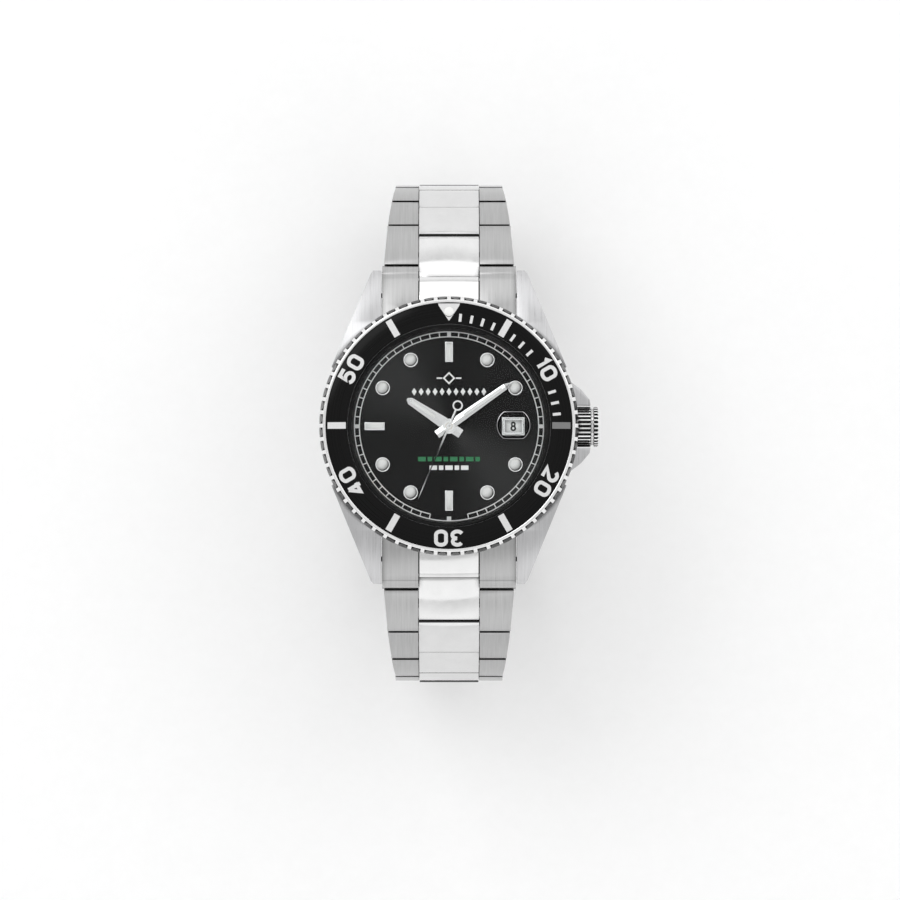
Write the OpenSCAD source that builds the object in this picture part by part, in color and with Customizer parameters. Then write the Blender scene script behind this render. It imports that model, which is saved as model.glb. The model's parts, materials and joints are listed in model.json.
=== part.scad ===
// Dive watch on a three-piece-link steel bracelet, closed as if worn.
// Frame: origin at the centre of the caseback's outer flat face, +Z out through the crystal,
// +Y towards 12 o'clock, +X towards the crown. Millimetres.

/* [Case] */
// Outer diameter of the rotating bezel
bezel_d = 42; // [38:0.5:52]
// Diameter of the case body under the bezel
case_d = 39.6; // [36:0.2:39.6]
// Height of the case's top face above the caseback's outer face
case_top = 8.3; // [8.1:0.1:10.5]
// Distance from lug tip to lug tip
lug_to_lug = 50.8; // [49.6:0.2:62]
// Gap between the two lugs of a pair, which the bracelet fills
lug_gap = 22; // [18:0.5:25]
// Width of one lug at its tip
lug_tip_w = 1.6; // [1.3:0.1:2.4]
// Diameter of the caseback's outer flange
caseback_d = 32; // [31.8:0.2:33]

/* [Crystal and dial] */
// Diameter of the crystal
crystal_d = 31.8; // [31.4:0.1:31.9]
// Thickness of the crystal
crystal_t = 2.7; // [2:0.1:3.4]
// Width of the date window in the dial
date_w = 2.7; // [2.2:0.1:3.1]
// Height of the date window in the dial
date_h = 1.95; // [1.6:0.05:2.5]
// Distance of the date window's centre from the dial's centre
date_x = 10.4; // [10:0.1:11]
// Diameter of a round hour marker
dot_d = 2.4; // [1.8:0.1:2.8]
// Radius at which the round hour markers sit
dot_r = 12.4; // [11.5:0.1:12.6]
// Length of a baton hour marker
baton_l = 3.3; // [2.4:0.1:3.6]
// Width of a baton hour marker
baton_w = 1.3; // [1:0.1:1.8]

/* [Hands] */
// Length of the hour hand from the centre
hour_l = 8.1; // [6:0.1:9.5]
// Length of the minute hand from the centre
minute_l = 12.1; // [10:0.1:14.5]
// Length of the second hand from the centre
second_l = 12.8; // [11:0.1:14.8]
// Angle of the hour hand clockwise from 12
hour_at = 303; // [0:1:359]
// Angle of the minute hand clockwise from 12
minute_at = 55; // [0:1:359]
// Angle of the second hand clockwise from 12
second_at = 203; // [0:1:359]

/* [Bezel] */
// Number of scallops round the bezel's edge
scallops = 60; // [30:1:72]
// Radius of one scallop
scallop_r = 0.85; // [0.5:0.05:0.95]
// Radial width of the bezel insert
insert_w = 3.45; // [3.2:0.05:3.5]

/* [Crown] */
// Diameter of the crown
crown_d = 6.5; // [5:0.1:7]
// Length of the crown along its axis
crown_l = 3.9; // [3.6:0.1:5]
// Travel of the crown when it is pulled out
crown_pull = 1.6; // [1:0.1:2]

/* [Bracelet] */
// Distance between the hinge pins of one row of links
pitch = 8; // [7:0.25:10]
// Thickness of a link
link_t = 2.8; // [2.5:0.1:3.2]
// Radius of the gentle crown along a link's outer face
link_crown_r = 26; // [16:1:80]
// Width of the centre link
centre_w = 9.8; // [8:0.2:11]
// Gap between a lug and the first row of links, on each side
row_side_gap = 0.35; // [0.2:0.05:1]
// How much narrower each row is than the one before it
row_taper = 1.2; // [0:0.1:1.4]
// Width of the seam on each side of an end link's middle
seam_w = 0.2; // [0.1:0.05:0.4]
// Depth of that seam
seam_depth = 0.5; // [0.2:0.1:1]
// Width of the narrowest rows of links
last_row_w = 17.6; // [16.5:0.1:20]
// Gap between the round end of a link and the hollow that it turns in
link_gap = 0.3; // [0.15:0.05:0.4]
// Radius of a hinge pin
pin_r = 0.6; // [0.4:0.05:0.7]

/* [Clasp] */
// Width of the clasp cover
cover_w = 18.4; // [17:0.2:22]
// Thickness of the clasp cover's sheet
cover_t = 0.9; // [0.7:0.05:1]
// Thickness of a folding blade
blade_t = 0.9; // [0.7:0.05:1]

/* [Clearances] */
// Running clearance of a pin, an arbor or a pipe, on the radius
run = 0.05; // [0.02:0.01:0.08]
// Gap between neighbouring faces of links that move past each other
side_gap = 0.16; // [0.05:0.01:0.2]

/* [Hidden] */
$fn = 96;
eps = 0.02;          // overlap that makes a cut run clear of a face

// Case levels and radii
case_r = case_d / 2;
case_bottom = 1.2;
flank_bottom_r = case_r - 1.6;
flank_chamfer_z = 2.6;
back_r = caseback_d / 2;
back_floor = 1.0;
plug_r = 14.6;               // threaded part of the caseback
plug_top = 2.6;
plug_wall = 0.8;
gasket_r0 = 15.0;
gasket_r1 = 15.6;
gasket_t = 0.6;
movement_r = 14.1;
dial_z = case_top - 1.1;     // underside of the dial
dial_t = 0.4;
dial_top = dial_z + dial_t;
crystal_r = crystal_d / 2;
neck_in = crystal_r + 0.3;   // the gasket's wall is 0.3
neck_out = neck_in + 1.0;
neck_top = case_top + 1.7;
crystal_z = case_top + 1.0;
crystal_top = crystal_z + crystal_t;
rehaut_bottom_r = neck_in - 0.75;
rehaut_top_r = neck_in - 0.4;

// Lugs: the tops fall away on one large arc
lug_y = lug_to_lug / 2;
lug_x = lug_gap / 2;
lug_fall = 14.4;             // length over which a lug's top falls away to its tip
lug_arc_y = lug_y - lug_fall;
lug_arc_r = 30;
lug_arc_z = case_top - lug_arc_r;
end_link_sink = 0.25;        // how far an end link's top lies below the lugs'
end_link_arc_r = lug_arc_r - end_link_sink;
lug_shoulder = [19.0, 9.6];
lug_tip_x = lug_x + lug_tip_w;
bar_y = lug_y - 4.0;         // spring bar
bar_z = 3.2;
bar_r = 0.9;
bar_tip_r = 0.4;
bar_tip_l = 1.2;

// Bezel
bezel_r = bezel_d / 2;
bezel_bottom = case_top + 0.2;
bezel_bore = neck_out + 0.06;
insert_out = bezel_r - 1.1;
insert_in = insert_out - insert_w;
insert_t = 0.7;
insert_slope = tan(10);
insert_edge = case_top + 2.45;      // top of the insert at its outer edge
rim_top = insert_edge + 0.1;
scallop_at = bezel_r + 0.35;
pip_r = 0.8;
pip_at = insert_out - 1.55;

// Crown and stem
axis_z = case_bottom + 3.7;
crown_r = crown_d / 2;
crown_x = bezel_r - 0.5;
crown_end = crown_x + crown_l;
flutes = 30;
flute_r = 0.22;
tube_r = 1.0;
tube_bore = 0.55;
tube_end = crown_x + 1.1;
tube_recess = crown_x + 1.1 + 0.6;
stem_r = 0.45;
stem_tip_r = 0.3;
stem_in = 8.2;
stem_step = 12.0;
stem_out = crown_end - 1.0;
pinion_x0 = 9.0;
pinion_x1 = 11.0;
guard_gap = crown_r + 0.2;
guard_x = crown_x + 2.4;

// Movement levels
bridge_z = 2.65;
bridge_t = 0.4;
plate_z = 5.2;
plate_top = 6.3;
rim_z1 = 6.9;
pivot_r = 0.12;
third_at = 60;
centre_dist = 3.6;
third_pos = centre_dist * [cos(third_at), sin(third_at)];
escape_at = -80;
escape_pos = 3.63 * [cos(escape_at), sin(escape_at)];
pallet_pos = [0.95, -6.2];
balance_pos = [1.3, -9.6];
balance_r = 2.9;
barrel_at = 160;
barrel_pos = 5.7 * [cos(barrel_at), sin(barrel_at)];
barrel_r = 4.97;
tube_in = 0.26;              // bore of the minute tube
tube_out = 0.54;
seconds_r = 0.2;
hour_pipe_in = 0.6;
hour_pipe_out = 0.95;
hour_hand_z = dial_top + 0.5;
minute_hand_z = hour_hand_z + 0.4;
second_hand_z = minute_hand_z + 0.35;
hand_t = 0.25;
second_t = 0.15;
date_disc_in = 8.2;
date_disc_out = 13.0;
disc_t = 0.3;
disc_z = dial_z - disc_t - 0.1;
rotor_z = 1.35;

// Bracelet: angle of each row below the horizontal, from the case outwards
rows = 6;
row_angles = [32, 56, 68, 84, 125, 155];
link_h = link_t / 2;
end_r = link_h + 0.05;       // round end of a link, about its pin
seat_r = end_r + link_gap;   // hollow end of the next link, about the same pin
first_pivot = [bar_y + 3.4, bar_z];
arm_x = centre_w / 2 + side_gap / 2;
first_row_w = lug_gap - 2 * row_side_gap;
cross_r = 0.45;              // cross pin that holds a row's three pieces together
pin_inset = 0.5;
function pivot(i) = i == 0 ? first_pivot
    : pivot(i - 1) + pitch * [cos(row_angles[i - 1]), -sin(row_angles[i - 1])];
function row_w(i) = max(last_row_w, first_row_w - row_taper * i);

// Clasp: plates on arcs about one axis, closed
last = pivot(rows);
clasp_r = 70;
clasp_z = last[1] + sqrt(clasp_r * clasp_r - last[0] * last[0]);
inner_blade_r = clasp_r - link_h - 0.2;
middle_blade_r = inner_blade_r + blade_t + 0.6;
cover_in_r = middle_blade_r + blade_t + 0.6;
cover_out_r = cover_in_r + cover_t;
knuckle_r = 1.1;
fold_pin_r = 0.5;
end_blade_w = centre_w - 0.4;
middle_blade_w = 14;
wall_x = cover_w / 2;
wall_t = 0.8;
wall_in_r = inner_blade_r + 0.2;
cover_y1 = last[0] - 3.4;
cover_y0 = -last[0] - 1.6;   // the side walls' ends, which carry the spring bar
plate_y0 = -last[0] + 2.9;   // the plate stops short of the spring bar
outer_fold_y = cover_y1 - 1.2;
outer_fold_r = cover_in_r - 0.4;
inner_fold_y = -last[0] + 10.4;
inner_fold_r = middle_blade_r - 0.3;
clasp_bar_r = 0.75;
tongue_gap = 0.5;
catch_y = plate_y0 + 8;
catch_t = 0.8;
catch_gap = 0.25;
catch_pin_r = 0.3;
catch_knuckle_r = 0.65;
catch_lug_r = 1.0;
catch_lip = 1.6;
catch_w = 9.6;

function on_arc(y, r) = [y, clasp_z - sqrt(r * r - y * y)];
outer_fold = on_arc(outer_fold_y, outer_fold_r);
inner_fold = on_arc(inner_fold_y, inner_fold_r);
catch_pin = on_arc(catch_y, cover_out_r + catch_knuckle_r + 0.2);

// A cylinder along X between x0 and x1, about the line at [y, z]
module x_rod(r, x0, x1, at) {
    translate([x0, at[0], at[1]]) rotate([0, 90, 0]) cylinder(r = r, h = x1 - x0);
}

// A drawing in Y and Z, pulled along X from x0 to x1
module x_plate(x0, x1) {
    translate([x0, 0, 0]) rotate([90, 0, 90]) linear_extrude(x1 - x0) children();
}

// Both sides of the watch from one
module both_x() {
    children();
    mirror([1, 0, 0]) children();
}

module both_y() {
    children();
    mirror([0, 1, 0]) children();
}

// A toothed wheel's outline: straight-sided teeth
module teeth(n, tip, root) {
    step = 360 / n;
    polygon([for (i = [0:n - 1], p = [[root, -0.34], [tip, -0.16], [tip, 0.16], [root, 0.34]])
        p[0] * [cos(step * (i + p[1])), sin(step * (i + p[1]))]]);
}

// A spoked wheel lying flat
module wheel(n, tip, z, t, hub, spokes) {
    rim = tip - 0.25;
    translate([0, 0, z]) linear_extrude(t) {
        difference() {
            teeth(n, tip, tip - 0.12);
            circle(rim - 0.3);
        }
        for (i = [0:spokes - 1])
            rotate(360 * i / spokes) translate([0, -0.14]) square([rim - 0.2, 0.28]);
        circle(hub);
    }
}

module pivot_rod(z0, z1, r) {
    translate([0, 0, z0]) cylinder(r = r, h = z1 - z0);
}

module at(p) {
    translate([p[0], p[1], 0]) children();
}

/* Case */

module lug_profile() {
    intersection() {
        translate([lug_arc_y, lug_arc_z]) circle(lug_arc_r, $fn = 180);
        polygon([[0, case_bottom + 0.4], [lug_y - 9, case_bottom], [lug_y - 3, 0.5],
            [lug_y - 0.8, 0.9], [lug_y, 2], [lug_y, case_top], [0, case_top]]);
    }
}

module lug() {
    intersection() {
        x_plate(lug_x, lug_shoulder[0] + 1) lug_profile();
        linear_extrude(case_top) polygon([[lug_x, 4], lug_shoulder, [lug_tip_x + 0.1, lug_y - 0.5],
            [lug_tip_x - 0.3, lug_y], [lug_x, lug_y]]);
    }
}

module crown_guard() {
    translate([0, 0, axis_z - 2.7]) linear_extrude(5.3) polygon([[15, guard_gap],
        [guard_x, guard_gap], [guard_x - 0.15, guard_gap + 0.85], [guard_x - 1.5, 5.9],
        [18.4, 8.2], [15, 8.2]]);
}

module case_middle() {
    color("silver") difference() {
        union() {
            rotate_extrude() polygon([[plug_r, case_bottom], [flank_bottom_r, case_bottom],
                [case_r, flank_chamfer_z], [case_r, case_top], [neck_out, case_top],
                [neck_out, neck_top], [neck_in, neck_top], [neck_in, dial_z],
                [movement_r, dial_z], [movement_r, plug_top], [plug_r, plug_top]]);
            intersection() {
                both_x() both_y() lug();
                difference() {
                    cylinder(r = 40, h = case_top);
                    translate([0, 0, -1]) cylinder(r = case_r - 1, h = case_top + 2);
                }
            }
            difference() {
                both_y() crown_guard();
                cylinder(r = case_r - 1, h = case_top);
            }
        }
        translate([0, 0, case_bottom - 1]) difference() {
            cylinder(r = gasket_r1, h = 1 + gasket_t);
            translate([0, 0, -1]) cylinder(r = gasket_r0, h = 3 + gasket_t);
        }
        translate([0, 0, case_top - 0.25]) difference() {
            cylinder(r = neck_out + 1.4, h = 1);
            translate([0, 0, -1]) cylinder(r = neck_out + 0.4, h = 3);
        }
        x_rod(tube_r, movement_r - 0.5, case_r + 1, [0, axis_z]);
        both_x() both_y() x_rod(bar_tip_r, lug_x - 1, lug_x + bar_tip_l, [bar_y, bar_z]);
    }
}

module caseback() {
    slots = 6;
    color("silver") difference() {
        rotate_extrude() polygon([[0, 0], [back_r - 0.5, 0], [back_r, 0.5], [back_r, case_bottom],
            [plug_r, case_bottom], [plug_r, plug_top], [plug_r - plug_wall, plug_top],
            [plug_r - plug_wall, back_floor], [0, back_floor]]);
        for (i = [0:slots - 1])
            rotate(360 * i / slots) translate([back_r - 1.6, -1, -1]) cube([3, 2, 1.5]);
    }
}

module gaskets() {
    color("black") {
        rotate_extrude() translate([gasket_r0, case_bottom])
            square([gasket_r1 - gasket_r0, gasket_t]);
        rotate_extrude() translate([crystal_r, crystal_z])
            square([neck_in - crystal_r, neck_top + 0.3 - crystal_z]);
    }
}

module crystal() {
    edge = 0.35;
    color([0.85, 0.9, 0.95, 0.4]) rotate_extrude() polygon([[0, crystal_z], [crystal_r, crystal_z],
        [crystal_r, crystal_top - edge], [crystal_r - edge, crystal_top], [0, crystal_top]]);
}

module date_magnifier() {
    lens_r = 2.7;
    lens_h = 0.7;
    dome_r = 7.5;
    color([0.85, 0.9, 0.95, 0.4]) translate([date_x, 0, crystal_top]) intersection() {
        cylinder(r = lens_r, h = lens_h + 1);
        translate([-lens_r - 1, -lens_r + 0.5, 0]) cube([2 * lens_r + 2, 2 * lens_r - 1, 2]);
        translate([0, 0, lens_h - dome_r]) sphere(dome_r);
    }
}

module rehaut_ring() {
    color([0.1, 0.1, 0.1]) rotate_extrude() polygon([[rehaut_bottom_r, dial_top],
        [neck_in, dial_top], [neck_in, crystal_z], [rehaut_top_r, crystal_z]]);
}

module dial() {
    hole_r = hour_pipe_out + 0.1;
    color([0.05, 0.05, 0.05]) difference() {
        translate([0, 0, dial_z]) cylinder(r = neck_in, h = dial_t);
        translate([0, 0, dial_z - 1]) cylinder(r = hole_r, h = 3);
        translate([date_x - date_w / 2, -date_h / 2, dial_z - 1]) cube([date_w, date_h, 3]);
    }
}

// Places: round markers at every hour but 12, 3, 6 and 9
dot_hours = [1, 2, 4, 5, 7, 8, 10, 11];
baton_hours = [6, 9, 12];
baton_r = 12.05;
marker_t = 0.35;
marker_wall = 0.2;

module on_hour(h, r) {
    rotate(-30 * h) translate([0, r, dial_top]) children();
}

module slab(w, l, z0, z1) {
    translate([-w / 2, -l / 2, z0]) cube([w, l, z1 - z0]);
}

module hour_marker_frames() {
    floor_t = 0.12;
    frame_w = 0.5;
    color("white") {
        for (h = dot_hours) on_hour(h, dot_r) difference() {
            cylinder(d = dot_d, h = marker_t);
            translate([0, 0, floor_t]) cylinder(d = dot_d - 2 * marker_wall, h = 1);
        }
        for (h = baton_hours) on_hour(h, baton_r) difference() {
            slab(baton_w, baton_l, 0, marker_t);
            slab(baton_w - 2 * marker_wall, baton_l - 2 * marker_wall, floor_t, 1);
        }
        translate([date_x, 0, dial_top]) difference() {
            slab(date_w + 2 * frame_w, date_h + 2 * frame_w, 0, 0.2);
            slab(date_w, date_h, -1, 1);
        }
    }
}

module hour_marker_lume() {
    floor_t = 0.12;
    top = marker_t + 0.03;
    color("ivory") {
        for (h = dot_hours) on_hour(h, dot_r) translate([0, 0, floor_t])
            cylinder(d = dot_d - 2 * marker_wall, h = top - floor_t);
        for (h = baton_hours) on_hour(h, baton_r)
            slab(baton_w - 2 * marker_wall, baton_l - 2 * marker_wall, floor_t, top);
    }
}

/* Bezel */

module bezel_click_spring() {
    spring_t = 0.25;
    color("gold") difference() {
        translate([0, 0, case_top - spring_t]) cylinder(r = neck_out + 1.4, h = spring_t);
        translate([0, 0, case_top - 1]) cylinder(r = neck_out + 0.4, h = 3);
        translate([neck_out - 1, -3, case_top - 1]) rotate(40) cube([4, 2, 3]);
    }
}

module bezel_ring() {
    color("silver") intersection() {
        rotate_extrude() polygon([[bezel_bore, bezel_bottom], [bezel_r - 0.4, bezel_bottom],
            [bezel_r, bezel_bottom + 0.4], [bezel_r, rim_top - 0.75], [bezel_r - 0.6, rim_top],
            [insert_out, rim_top], [insert_out, insert_edge - insert_t],
            [bezel_bore, insert_edge - insert_t + insert_slope * (insert_out - bezel_bore)]]);
        linear_extrude(rim_top + 1) difference() {
            circle(bezel_r);
            for (i = [0:scallops - 1])
                rotate(360 * (i + 0.5) / scallops) translate([scallop_at, 0]) circle(scallop_r);
        }
    }
}

module bezel_insert() {
    rise = insert_slope * insert_w;
    color([0.05, 0.05, 0.05]) difference() {
        rotate_extrude() polygon([[insert_in, insert_edge - insert_t + rise],
            [insert_out, insert_edge - insert_t], [insert_out, insert_edge],
            [insert_in, insert_edge + rise]]);
        translate([0, pip_at, 0]) cylinder(r = pip_r, h = 20);
    }
    color("ivory") translate([0, pip_at, insert_edge - insert_t + 0.4])
        cylinder(r = pip_r, h = insert_t);
}

/* Hands */

// A flat hand: its outline, a boss, the hole for its pipe and the slot that its lume fills
module hand(angle, z, t, outline, boss_r, hole_r, slot_w, slot_y0, slot_y1) {
    color("silver") rotate(-angle) translate([0, 0, z]) difference() {
        union() {
            linear_extrude(t) polygon(outline);
            cylinder(r = boss_r, h = t);
        }
        translate([0, 0, -1]) cylinder(r = hole_r, h = 3);
        translate([-slot_w / 2, slot_y0, -1]) cube([slot_w, slot_y1 - slot_y0, 3]);
    }
}

module hour_hand() {
    tail = 2.3;
    wide = 0.95;
    hand(hour_at, hour_hand_z, hand_t, [[-wide, 0.9], [-0.6, hour_l - 0.6], [-0.15, hour_l],
        [0.15, hour_l], [0.6, hour_l - 0.6], [wide, 0.9], [0.73, -tail], [-0.73, -tail]],
        1.25, hour_pipe_out, 0.65, 2.7, hour_l - 0.9);
}

module minute_hand() {
    tail = 2.4;
    hand(minute_at, minute_hand_z, hand_t, [[-0.7, 0.9], [-0.5, minute_l - 1], [-0.12, minute_l],
        [0.12, minute_l], [0.5, minute_l - 1], [0.7, 0.9], [0.66, -tail], [-0.66, -tail]],
        1.0, tube_out, 0.6, 3, minute_l - 1.6);
}

module second_hand() {
    ring_at = 3.6;
    ring_r = 0.85;
    color("silver") rotate(-second_at) translate([0, 0, second_hand_z]) difference() {
        union() {
            linear_extrude(second_t) polygon([[-0.14, -ring_at], [-0.07, second_l],
                [0.07, second_l], [0.14, -ring_at]]);
            cylinder(r = 0.5, h = second_t);
            translate([0, -ring_at, 0]) cylinder(r = ring_r, h = second_t);
        }
        translate([0, 0, -1]) cylinder(r = seconds_r, h = 3);
        translate([0, -ring_at, -1]) cylinder(r = ring_r - 0.28, h = 3);
    }
}

/* Movement */

module plate_holes(clear) {
    at(third_pos) pivot_rod(0, 20, pivot_r + clear);
    at(escape_pos) pivot_rod(0, 20, pivot_r + clear);
    at(pallet_pos) pivot_rod(0, 20, pivot_r + clear);
    at(balance_pos) pivot_rod(0, 20, pivot_r + clear);
    at(barrel_pos) pivot_rod(0, 20, 0.5 + clear);
}

pillars = [[8.6, 7], [8.6, -7], [-8.6, -7]];

module mainplate() {
    color("gold") difference() {
        union() {
            translate([0, 0, plate_z]) cylinder(r = movement_r, h = plate_top - plate_z);
            translate([0, 0, plug_top]) difference() {
                cylinder(r = movement_r, h = rim_z1 - plug_top);
                translate([0, 0, -1]) cylinder(r = date_disc_out + 0.2, h = rim_z1);
            }
            for (p = pillars) at(p) pivot_rod(bridge_z + bridge_t, plate_z + eps, 0.8);
        }
        pivot_rod(0, 20, tube_out + 0.06);
        plate_holes(run);
        x_rod(tube_bore, stem_in - 1, movement_r + 1, [0, axis_z]);
        translate([pinion_x0 - 0.5, -1.2, axis_z - 1.2]) cube([3, 2.4, 2.35]);
    }
}

module train_bridge() {
    bearing_r = 0.5;
    color("silver") {
        difference() {
            translate([0, 0, bridge_z]) cylinder(r = date_disc_out + 0.2, h = bridge_t);
            at(third_pos) pivot_rod(0, 20, pivot_r + run);
            at(escape_pos) pivot_rod(0, 20, pivot_r + run);
            at(pallet_pos) pivot_rod(0, 20, pivot_r + run);
            at(balance_pos) pivot_rod(0, 20, pivot_r + run);
            at(barrel_pos) pivot_rod(0, 20, 0.5 + run);
            translate([0, 0, bridge_z + 0.1]) cylinder(r = seconds_r + run, h = 1);
        }
        pivot_rod(rotor_z, bridge_z + eps, bearing_r);
    }
}

module centre_wheel() {
    color("gold") difference() {
        union() {
            wheel(64, 3.17, 3.9, 0.15, 0.9, 4);
            translate([0, 0, 4.3]) linear_extrude(0.75) teeth(14, 0.67, 0.56);
            pivot_rod(3.85, minute_hand_z + hand_t, tube_out);
        }
        pivot_rod(3, 20, tube_in);
    }
}

module third_wheel() {
    color("gold") at(third_pos) {
        wheel(60, 3.12, 3.2, 0.15, 0.5, 4);
        translate([0, 0, 3.3]) linear_extrude(0.85) teeth(8, 0.38, 0.28);
        pivot_rod(bridge_z + 0.05, plate_z + 0.6, pivot_r);
    }
}

module fourth_wheel() {
    color("gold") {
        wheel(70, 3.27, 3.5, 0.15, 0.6, 4);
        translate([0, 0, 3.15]) linear_extrude(0.4) teeth(8, 0.42, 0.32);
        pivot_rod(bridge_z + 0.15, second_hand_z + second_t, seconds_r);
    }
}

module escape_wheel() {
    color("silver") at(escape_pos) {
        wheel(20, 2.0, 4.3, 0.15, 0.4, 4);
        translate([0, 0, 3.45]) linear_extrude(0.25) teeth(7, 0.3, 0.22);
        pivot_rod(bridge_z + 0.05, plate_z + 0.6, pivot_r);
    }
}

module pallet_fork() {
    reach = 2.5;
    swing = atan2(balance_pos[0] - pallet_pos[0], pallet_pos[1] - balance_pos[1]);
    color("silver") at(pallet_pos) {
        translate([0, 0, 4.28]) linear_extrude(0.16) rotate(swing) {
            circle(0.4);
            translate([-0.14, -reach]) square([0.28, reach]);
            translate([-0.4, -reach - 0.3]) difference() {
                square([0.8, 0.5]);
                translate([0.25, -0.1]) square([0.3, 0.4]);
            }
            translate([-1.4, -0.15]) square([2.8, 0.3]);
            translate([-1.4, -0.1]) square([0.25, 0.55]);
            translate([1.15, -0.1]) square([0.25, 0.55]);
        }
        pivot_rod(bridge_z + 0.05, plate_z + 0.6, pivot_r);
    }
}

module balance_wheel() {
    color("gold") at(balance_pos) {
        translate([0, 0, 3.5]) linear_extrude(0.3) {
            difference() {
                circle(balance_r);
                circle(balance_r - 0.4);
            }
            for (a = [0, 90]) rotate(a) translate([-balance_r + 0.2, -0.15])
                square([2 * balance_r - 0.4, 0.3]);
            circle(0.5);
        }
        pivot_rod(4.25, 4.45, 0.35);
        pivot_rod(bridge_z + 0.05, plate_z + 0.6, pivot_r);
    }
}

module barrel() {
    color("gold") at(barrel_pos) {
        translate([0, 0, 4.3]) linear_extrude(0.2) teeth(90, barrel_r, barrel_r - 0.12);
        pivot_rod(4.35, 5.05, barrel_r - 0.3);
        pivot_rod(bridge_z + 0.05, plate_z + 0.6, 0.5);
    }
}

module rotor() {
    rotor_r = plug_r - plug_wall - 0.5;
    weight_w = 2.2;
    color("silver") difference() {
        union() {
            translate([0, 0, rotor_z + 0.5]) intersection() {
                cylinder(r = rotor_r, h = 0.3);
                translate([-20, 0, -1]) cube([40, 20, 3]);
            }
            translate([0, 0, rotor_z]) intersection() {
                difference() {
                    cylinder(r = rotor_r, h = 1);
                    translate([0, 0, -1]) cylinder(r = rotor_r - weight_w, h = 3);
                }
                translate([-20, 0, -1]) cube([40, 20, 3]);
            }
            translate([0, 0, rotor_z]) cylinder(r = 1.6, h = 1);
        }
        pivot_rod(0, 5, 0.5 + run);
    }
}

module hour_wheel() {
    color("gold") difference() {
        union() {
            wheel(40, 3.0, disc_z, 0.2, 1.3, 4);
            pivot_rod(disc_z, hour_hand_z + hand_t, hour_pipe_out);
        }
        pivot_rod(0, 20, hour_pipe_in);
    }
}

module date_disc() {
    notch_n = 31;
    color("white") translate([0, 0, disc_z]) linear_extrude(disc_t) difference() {
        circle(date_disc_out);
        teeth(notch_n, date_disc_in + 0.5, date_disc_in);
    }
}

/* Crown and stem */

module sliding_pinion() {
    color("gold") translate([pinion_x0, 0, axis_z]) rotate([0, 90, 0]) difference() {
        linear_extrude(pinion_x1 - pinion_x0) teeth(12, 0.9, 0.72);
        translate([0, 0, -1]) cylinder(r = stem_tip_r + run, h = 5);
    }
}

module winding_stem() {
    color("silver") {
        x_rod(stem_tip_r, stem_in, stem_step + eps, [0, axis_z]);
        x_rod(stem_r, stem_step, stem_out, [0, axis_z]);
    }
}

module crown_tube() {
    color("silver") difference() {
        x_rod(tube_r, movement_r, tube_end, [0, axis_z]);
        x_rod(tube_bore, movement_r - 1, tube_end + 1, [0, axis_z]);
    }
}

module crown() {
    groove_x = crown_l - 1.5;
    color("silver") translate([crown_x, 0, axis_z]) rotate([0, 90, 0]) difference() {
        intersection() {
            rotate_extrude() polygon([[0, 0], [crown_r - 0.3, 0], [crown_r, 0.35],
                [crown_r, groove_x], [crown_r - 0.28, groove_x + 0.1],
                [crown_r - 0.28, groove_x + 0.5], [crown_r, groove_x + 0.6],
                [crown_r, crown_l - 0.4], [crown_r - 0.5, crown_l], [0, crown_l]]);
            linear_extrude(crown_l) difference() {
                circle(crown_r);
                for (i = [0:flutes - 1])
                    rotate(360 * i / flutes) translate([crown_r + 0.02, 0])
                        circle(flute_r, $fn = 24);
            }
        }
        translate([0, 0, -1]) cylinder(r = tube_r + 0.3, h = 1 + tube_recess - crown_x);
        translate([0, 0, -1]) cylinder(r = stem_r, h = 1 + stem_out - crown_x);
    }
}

/* Bracelet */

module spring_bars() {
    color("silver") both_y() {
        x_rod(bar_r, -lug_x + side_gap, lug_x - side_gap, [bar_y, bar_z]);
        both_x() x_rod(bar_tip_r, lug_x - side_gap - eps, lug_x + bar_tip_l, [bar_y, bar_z]);
    }
}

module end_link_profile() {
    intersection() {
        translate([lug_arc_y, lug_arc_z]) circle(end_link_arc_r, $fn = 180);
        union() {
            translate([10, bar_z - link_h]) square([first_pivot[0] - 10, 10]);
            translate(first_pivot) circle(end_r);
        }
    }
}

module end_link() {
    arm_out = first_row_w / 2 + 0.2;
    color("silver") difference() {
        x_plate(-min(arm_out, lug_x - side_gap), min(arm_out, lug_x - side_gap))
            end_link_profile();
        cylinder(r = case_r + side_gap, h = 30);
        x_rod(seat_r, -arm_x, arm_x, first_pivot);
        x_plate(-arm_x, arm_x) translate([first_pivot[0], -10]) square([10, 30]);
        x_rod(bar_r, -20, 20, [bar_y, bar_z]);
        x_rod(pin_r, -first_row_w / 2 + pin_inset, first_row_w / 2 - pin_inset, first_pivot);
        both_x() x_plate(arm_x - seam_w, arm_x) difference() {
            translate([0, bar_z]) square([first_pivot[0], 20]);
            translate([lug_arc_y, lug_arc_z]) circle(end_link_arc_r - seam_depth, $fn = 180);
        }
    }
    color("silver") x_rod(pin_r, -first_row_w / 2 + pin_inset, first_row_w / 2 - pin_inset,
        first_pivot);
}

module end_link_12() end_link();

module end_link_6() mirror([0, 1, 0]) end_link();

// What lies under a link's crowned outer face, drawn along its row
module under_crown() {
    translate([pitch / 2, link_h - link_crown_r]) circle(link_crown_r, $fn = 180);
}

// Section of a link along its row: length from the near pin at 0 to the far pin at pitch
module centre_section() {
    difference() {
        intersection() {
            under_crown();
            translate([-end_r, -link_h]) square([pitch + end_r, link_t]);
            union() {
                circle(end_r);
                translate([0, -link_t]) square([pitch, 2 * link_t]);
            }
        }
        translate([pitch, 0]) circle(seat_r);
        circle(pin_r + run);
        translate([pitch / 2, 0]) circle(cross_r);
    }
}

module side_section() {
    difference() {
        intersection() {
            under_crown();
            translate([0, -link_h]) square([pitch + end_r, link_t]);
            union() {
                translate([pitch, 0]) circle(end_r);
                translate([0, -link_t]) square([pitch, 2 * link_t]);
            }
        }
        circle(seat_r);
    }
}

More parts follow.
